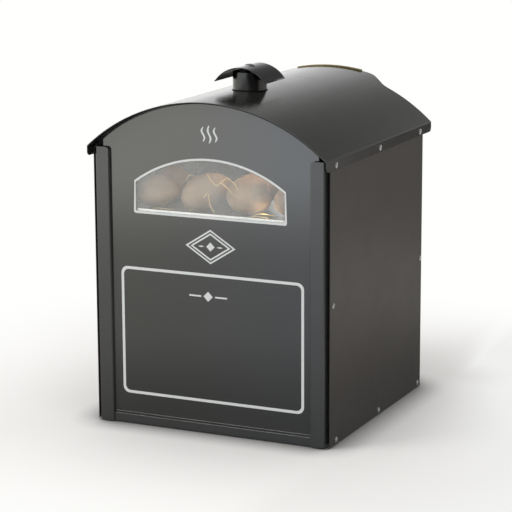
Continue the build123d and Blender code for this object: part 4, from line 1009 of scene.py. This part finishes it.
def printed_ring(bm, outer, inner, face):
    """A flat raised line between two outlines that have as many points as each other."""
    rows = [[bm.verts.new((x, y, z)) for x, z in line] for line in (outer, inner) for y in (face, face - PRINT_RISE)]
    outer_low, outer_high, inner_low, inner_high = rows
    for a, b in ((outer_high, inner_high), (outer_low, outer_high), (inner_high, inner_low), (inner_low, outer_low)):
        for i in range(len(a)):
            k = (i + 1) % len(a)
            bm.faces.new((a[i], a[k], b[k], b[i]))


def printed_patch(bm, outline, face):
    """A flat raised patch with a convex outline."""
    back = [bm.verts.new((x, face, z)) for x, z in outline]
    front = [bm.verts.new((x, face - PRINT_RISE, z)) for x, z in outline]
    bm.faces.new(front)
    for i in range(len(back)):
        k = (i + 1) % len(back)
        bm.faces.new((back[i], back[k], front[k], front[i]))


def lozenge(place, half):
    (x, z), (wide, tall) = place, half
    return [(x - wide, z), (x, z - tall), (x + wide, z), (x, z + tall)]


def panel_face():
    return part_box("front_panel")[0].y


def make_window_border():
    def build(bm):
        printed_ring(bm, window_ring(BORDER_LINE), window_ring(0.6 * MM), panel_face())

    piece("window_border", mesh_from("window_border", build), "ink", CABINET, smooth=0)


def make_menu_frame():
    def build(bm):
        low, high, line = MENU_LOW, MENU_HIGH, MENU_LINE
        outer = rounded_rectangle(MENU_HALF, low, high, MENU_CORNER, MENU_CENTRE)
        inner = rounded_rectangle(MENU_HALF - line, low + line, high - line, MENU_CORNER - line * 0.6, MENU_CENTRE)
        printed_ring(bm, outer, inner, panel_face())

    piece("menu_frame", mesh_from("menu_frame", build), "ink", CABINET, smooth=0)


def make_badge():
    """A lozenge in a double line, with a diamond and short rules inside."""
    def build(bm):
        wide, tall = BADGE_HALF
        for scale in (1.0, 0.80):
            inner = (wide * scale - BADGE_LINE * 1.9, tall * scale - BADGE_LINE * 1.2)
            outline = lozenge(BADGE_PLACE, (wide * scale, tall * scale))
            printed_ring(bm, outline, lozenge(BADGE_PLACE, inner), panel_face())
        printed_patch(bm, lozenge(BADGE_PLACE, (9 * MM, 9 * MM)), panel_face())
        for side in (-1, 1):
            middle_x = BADGE_PLACE[0] + side * 20 * MM
            printed_patch(bm, lozenge((middle_x, BADGE_PLACE[1]), (7 * MM, 1.6 * MM)), panel_face())

    piece("front_badge", mesh_from("front_badge", build), "ink", CABINET, smooth=0)


def make_steam_mark():
    """Three rising waves."""
    def build(bm):
        for shift in (-1, 0, 1):
            centre_x = STEAM_PLACE[0] + shift * STEAM_PITCH
            height = STEAM_HEIGHT * (1.0 if shift == 0 else 0.82)
            left, right = [], []
            for i in range(25):
                share = i / 24
                sway = 3.0 * MM * math.sin(2 * math.pi * share)
                thick = STEAM_LINE / 2 * math.sin(math.pi * (0.08 + 0.84 * share)) ** 0.5
                z = STEAM_PLACE[1] - height / 2 + height * share
                left.append((centre_x + sway - thick, z))
                right.append((centre_x + sway + thick, z))
            for i in range(24):
                printed_patch(bm, [left[i], right[i], right[i + 1], left[i + 1]], panel_face())

    piece("steam_mark", mesh_from("steam_mark", build), "ink", CABINET, smooth=0)


def make_rule():
    """A short ruled line with a diamond at its middle, at the head of the menu space."""
    def build(bm):
        x, z = RULE_PLACE
        printed_patch(bm, lozenge(RULE_PLACE, (10 * MM, 10 * MM)), panel_face())
        for side in (-1, 1):
            near, far = x + side * 15 * MM, x + side * RULE_HALF
            ends = sorted((near, far))
            printed_patch(bm, [(ends[0], z - 1.6 * MM), (ends[1], z - 1.6 * MM), (ends[1], z + 1.6 * MM),
                               (ends[0], z + 1.6 * MM)], panel_face())

    piece("menu_rule", mesh_from("menu_rule", build), "ink", CABINET, smooth=0)


# ------------------------------------------------------------------ finish every CAD piece
SOFT_EDGES = {
    "front_panel": 0.35, "front_post_right": 0.5, "front_post_left": 0.5, "front_rail": 0.45, "roof": 0.18,
    "side_panel_right": 0.5, "side_panel_left": 0.5, "base_pan": 0.5, "rear_frame": 0.45,
    "front_bulkhead": 0.45, "cowl": 0.45, "flue_pipe": 0.5, "cowl_bridge": 0.4, "display_floor": 0.4,
    "display_liner": 0.3, "control_panel": 0.6, "oven_door_shell": 0.5, "oven_door_liner": 0.3,
    "display_door_frame": 1.2, "display_door_glass": 0.5, "window_glass": 0.3, "oven_door_seal": 1.8,
    "hinge_leaves": 0.4, "oven_door_hinges": 0.4, "display_door_hinges": 0.35, "cable_gland": 0.6,
    "switch_housings": 0.6, "power_rocker": 0.6, "light_rocker": 0.6, "rack_runners": 0.3,
    "lamp_holder": 0.8, "feet": 0.4,
    }


MADE_IN_MESH = {
    "visor_trim", "display_potatoes", "casing_screws", "cowl_screw", "lamp", "oven_racks", "element_lower", "element_upper",
    "oven_door_handle", "display_door_handle", "thermostat_knob", "timer_knob", "pilot_lenses",
}


def finish_cad_pieces(made_elsewhere):
    for node in sorted(NODES):
        if node in made_elsewhere:
            continue
        if node in SOFT_EDGES:
            softened(node, SOFT_EDGES[node])
        else:
            painted(node)


# ------------------------------------------------------------------ floor, light and background
FLOOR_HALF = 40.0
FOOTPRINT = (0.255, 0.29)
# The floor turns plain this far from the object: on its left and front, at its front right, and on its right.
WHITE_REACH = (0.62, 0.55, 0.15)
# Painted shadow: close to the object's right side the plain white dims to this share.
NEAR_RIGHT_PAINTED_SHADE = 0.87
# Reach of the painted contact shadow that darkens the floor's colour beside the object.
CONTACT_REACH = 0.07
# How bright the floor looks in a reflection, by its distance from the object in metres.
GLOSS_REACH = 3.2
GLOSS_GAIN = 1.25
GLOSS_RAMP = ((0.0, 0.14), (0.4, 0.10), (0.7, 0.18), (1.05, 0.34), (1.9, 0.39), (2.4, 0.62), (3.0, 0.98))
WARM_SIDE, COOL_SIDE = (1.0, 0.995, 0.93), (0.95, 1.01, 1.07)
# Slopes of the lines on the floor that the front and the right side mirror straight up.
FRONT_SLOPE, SIDE_SLOPE = 0.4676, 2.139
# Gain of the right side's reflection, from its front edge to its rear: low, at mid height and at the top.
SIDE_GLOSS = ((1.35, 0.65), (1.85, 1.20), (1.50, 0.28))


def glossy_floor(look, sides):
    """Colour and strength of the floor as gloss mirrors it: warm on the left, cool on the right."""
    distance = look.add("ShaderNodeVectorMath", {0: look.place}, operation="LENGTH").outputs["Value"]
    ramp = look.add("ShaderNodeValToRGB", {"Fac": look.spread(distance, 0.0, GLOSS_REACH)})
    bands = ramp.color_ramp
    bands.interpolation = "B_SPLINE"
    while len(bands.elements) < len(GLOSS_RAMP):
        bands.elements.new(0.5)
    for element, (reach, bright) in zip(bands.elements, GLOSS_RAMP):
        element.position = reach / GLOSS_REACH
        element.color = (bright, bright, bright, 1)
    x, y = sides[0], sides[1]
    before = look.maths("SUBTRACT", x, look.maths("MULTIPLY", look.maths("ADD", y, FOOTPRINT[1]), FRONT_SLOPE))
    along = look.maths("SUBTRACT", y, look.maths("MULTIPLY", look.maths("SUBTRACT", x, FOOTPRINT[0]), SIDE_SLOPE))
    tint = look.mix(look.spread(before, -0.2, 0.2), WARM_SIDE, COOL_SIDE)
    on_right = look.spread(x, 0.3, 0.5)
    tint = look.mix(on_right, tint, (1.0, 0.97, 0.93))
    level = look.maths("MULTIPLY", ramp.outputs["Color"], look.spread(x, 0.75, 1.4, GLOSS_GAIN, GLOSS_GAIN * 0.3))
    low_part, middle_part, top_part = (look.spread(along, -0.25, 0.2, *ends) for ends in SIDE_GLOSS)
    rearward = look.mix(look.spread(distance, 0.6, 1.1), low_part, middle_part)
    rearward = look.mix(look.spread(distance, 1.4, 2.1), rearward, top_part)
    level = look.maths("MULTIPLY", level, look.mix(on_right, (1.0, 1.0, 1.0), rearward))
    right_front = look.maths("MULTIPLY", look.spread(x, -0.1, 0.5), look.spread(y, 0.0, -0.6))
    right_front = look.maths("MULTIPLY", right_front, look.spread(distance, 1.0, 1.8))
    level = look.maths("MULTIPLY", level, look.spread(right_front, 0.0, 1.0, 1.0, 0.1))
    return {"Color": tint, "Strength": level}


def make_floor():
    """A pale floor that keeps the object's shadow and turns to plain white further off; painted shadow darkens its
    colour beside the object and dims the white near its right side.
    """
    look = Look("pale_floor")
    light = look.add("ShaderNodeLightPath")
    glossy = light.outputs["Is Glossy Ray"]
    sides = look.add("ShaderNodeSeparateXYZ", {0: look.place}).outputs
    beside = [look.maths("MAXIMUM", look.maths("SUBTRACT", look.maths("ABSOLUTE", sides[i], 0), half), 0.0)
              for i, half in ((0, FOOTPRINT[0]), (1, FOOTPRINT[1]))]
    off = look.maths("SQRT", look.maths("ADD", look.maths("MULTIPLY", beside[0], beside[0]),
                                        look.maths("MULTIPLY", beside[1], beside[1])), 0)
    right_reach = look.spread(sides[1], -0.55, 0.25, WHITE_REACH[1], WHITE_REACH[2])
    on_right = look.spread(sides[0], 0.22, 0.30)
    reach = look.add("ShaderNodeMapRange", {"Value": on_right, "To Min": WHITE_REACH[0], "To Max": right_reach}).outputs[0]
    plain = look.add("ShaderNodeMapRange", {"Value": look.maths("DIVIDE", off, reach), "From Min": -0.05, "From Max": 1.2},
                     interpolation_type="SMOOTHSTEP").outputs[0]
    seen = look.maths("MAXIMUM", light.outputs["Is Camera Ray"], light.outputs["Is Transmission Ray"])
    far = look.maths("MAXIMUM", look.maths("MULTIPLY", plain, seen), glossy)
    # Painted shadow: the plain white is dimmed close to the object's right side.
    away = look.spread(look.add("ShaderNodeVectorMath", {0: look.place}, operation="LENGTH").outputs["Value"], 0.65, 1.3)
    near_right = look.maths("MULTIPLY", on_right, look.maths("SUBTRACT", 1.0, away))
    plain_white_shaded = look.spread(near_right, 0.0, 1.0, 1.0, NEAR_RIGHT_PAINTED_SHADE)
    white = look.add("ShaderNodeEmission", {"Color": (1.0, 1.0, 0.985, 1), "Strength": plain_white_shaded}).outputs[0]
    mirrored = look.add("ShaderNodeEmission", glossy_floor(look, sides)).outputs[0]
    distant = look.add("ShaderNodeMixShader", {0: glossy, 1: white, 2: mirrored}).outputs[0]
    # Painted contact shadow: where ambient occlusion finds the object close by, the floor's colour turns towards
    # black.
    painted_contact_shadow = look.add("ShaderNodeAmbientOcclusion", {"Distance": CONTACT_REACH}, samples=16).outputs["AO"]
    tone = look.mix(look.noise(3, 2), (0.93, 0.915, 0.90), (0.955, 0.945, 0.93))
    tone = look.mix(look.spread(painted_contact_shadow, 0.45, 1.0, 0.72, 0.0), tone, (0.0, 0.0, 0.0))
    look.set(Base_Color=tone, Roughness=0.85, Specular_IOR_Level=0.2)
    whole = look.add("ShaderNodeMixShader", {0: far, 1: look.shader.outputs[0], 2: distant}).outputs[0]
    look.put(look.tree.nodes["Material Output"].inputs["Surface"], whole)

    def build(bm):
        bmesh.ops.create_grid(bm, x_segments=1, y_segments=1, size=FLOOR_HALF)

    mesh = mesh_from("floor", build)
    floor = bpy.data.objects.new("floor", mesh)
    bpy.context.scene.collection.objects.link(floor)
    mesh.materials.append(look.material)


def make_world():
    """White all round for the eye, even light for diffuse rays, a bright band and an overhead panel for gloss."""
    world = bpy.data.worlds.new("studio")
    bpy.context.scene.world = world
    world.use_nodes = True
    tree = world.node_tree
    tree.nodes.clear()

    def add(kind, inputs=None, **settings):
        node = tree.nodes.new(kind)
        for key, value in settings.items():
            setattr(node, key, value)
        for key, value in (inputs or {}).items():
            if isinstance(value, bpy.types.NodeSocket):
                tree.links.new(value, node.inputs[key])
            else:
                node.inputs[key].default_value = value
        return node

    def spread(value, low, high, into_low, into_high):
        inputs = {"Value": value, "From Min": low, "From Max": high, "To Min": into_low, "To Max": into_high}
        return add("ShaderNodeMapRange", inputs, interpolation_type="SMOOTHSTEP").outputs[0]

    way = add("ShaderNodeTexCoord").outputs["Generated"]
    ways = add("ShaderNodeSeparateXYZ", {0: way}).outputs
    height = ways["Z"]
    low_band = spread(height, -0.02, 0.16, 1.75, 1.0)
    band = add("ShaderNodeMath", {0: low_band, 1: spread(height, 0.16, 0.42, 1.0, 0.17)}, operation="MULTIPLY").outputs[0]
    band = add("ShaderNodeMath", {0: band, 1: spread(ways["X"], 0.15, 0.40, 1.0, 0.25)}, operation="MULTIPLY").outputs[0]
    band = add("ShaderNodeMath", {0: band, 1: spread(height, 0.78, 0.86, 0.0, 1.6)}, operation="ADD").outputs[0]
    light = add("ShaderNodeLightPath")
    even = add("ShaderNodeBackground", {"Color": (1.0, 0.995, 0.985, 1), "Strength": 0.82})
    gloss = add("ShaderNodeBackground", {"Color": (1.0, 1.0, 1.0, 1), "Strength": band})
    seen = add("ShaderNodeBackground", {"Color": (1.0, 1.0, 0.985, 1), "Strength": 1.0})
    first = add("ShaderNodeMixShader", {0: light.outputs["Is Glossy Ray"], 1: even.outputs[0], 2: gloss.outputs[0]})
    last = add("ShaderNodeMixShader", {0: light.outputs["Is Camera Ray"], 1: first.outputs[0], 2: seen.outputs[0]})
    output = add("ShaderNodeOutputWorld")
    tree.links.new(last.outputs[0], output.inputs["Surface"])


def area_light(name, place, aim, size, watts, colour=(1, 1, 1)):
    data = bpy.data.lights.new(name, "AREA")
    data.shape = "RECTANGLE"
    data.size, data.size_y = size
    data.energy = watts
    data.color = colour
    light = bpy.data.objects.new(name, data)
    bpy.context.scene.collection.objects.link(light)
    light.matrix_world = facing(Vector(place) - Vector(aim), place)
    return light


# Where lamp light gathers low among the straw: along X, behind the panel and above the sill lip.
GLOW_X, GLOW_DEPTH, GLOW_RISE = 106 * MM, 22 * MM, 3 * MM


def point_light(name, place, watts, colour, size):
    """A small lamp that lights the pieces about it, and isn't seen itself."""
    data = bpy.data.lights.new(name, "POINT")
    data.energy, data.color, data.shadow_soft_size = watts, colour, size
    light = bpy.data.objects.new(name, data)
    bpy.context.scene.collection.objects.link(light)
    light.location = place
    light.visible_camera = light.visible_transmission = light.visible_glossy = False


def make_lights():
    key = area_light("key_softbox", (-2.6, -2.4, 2.6), (0, 0, 0.3), (1.8, 1.8), 50)
    key.visible_glossy = False
    low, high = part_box("lamp")
    bulb = ((low.x + high.x) / 2, (low.y + high.y) / 2, low.z - 6 * MM)
    point_light("display_lamp_light", bulb, 0.50, (1.0, 0.72, 0.46), 12 * MM)
    pool = (GLOW_X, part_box("front_panel")[1].y + GLOW_DEPTH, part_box("display_floor")[1].z + GLOW_RISE)
    point_light("display_floor_glow", pool, 0.035, (1.0, 0.80, 0.48), 6 * MM)


# ------------------------------------------------------------------ the scene
bpy.context.scene.view_settings.view_transform = "Standard"
MATERIALS = make_materials()
make_camera()
make_world()
make_floor()
make_lights()
make_potatoes()
make_casing_screws()
make_cowl_screw()
make_roof_hem()
make_cowl_hems()
make_flue_bead()
make_sill_highlight()
make_rail_highlights()
make_visor_trim()
make_lamp()
make_straw()
make_racks()
make_element("element_lower")
make_element("element_upper")
make_handle("oven_door_handle", 5.0 * MM)
make_handle("display_door_handle", 3.0 * MM)
make_knob("thermostat_knob")
make_knob("timer_knob")
make_dial_marks()
make_switch_marks()
make_pilots()
make_window_border()
make_menu_frame()
make_badge()
make_steam_mark()
make_rule()
finish_cad_pieces(MADE_IN_MESH)
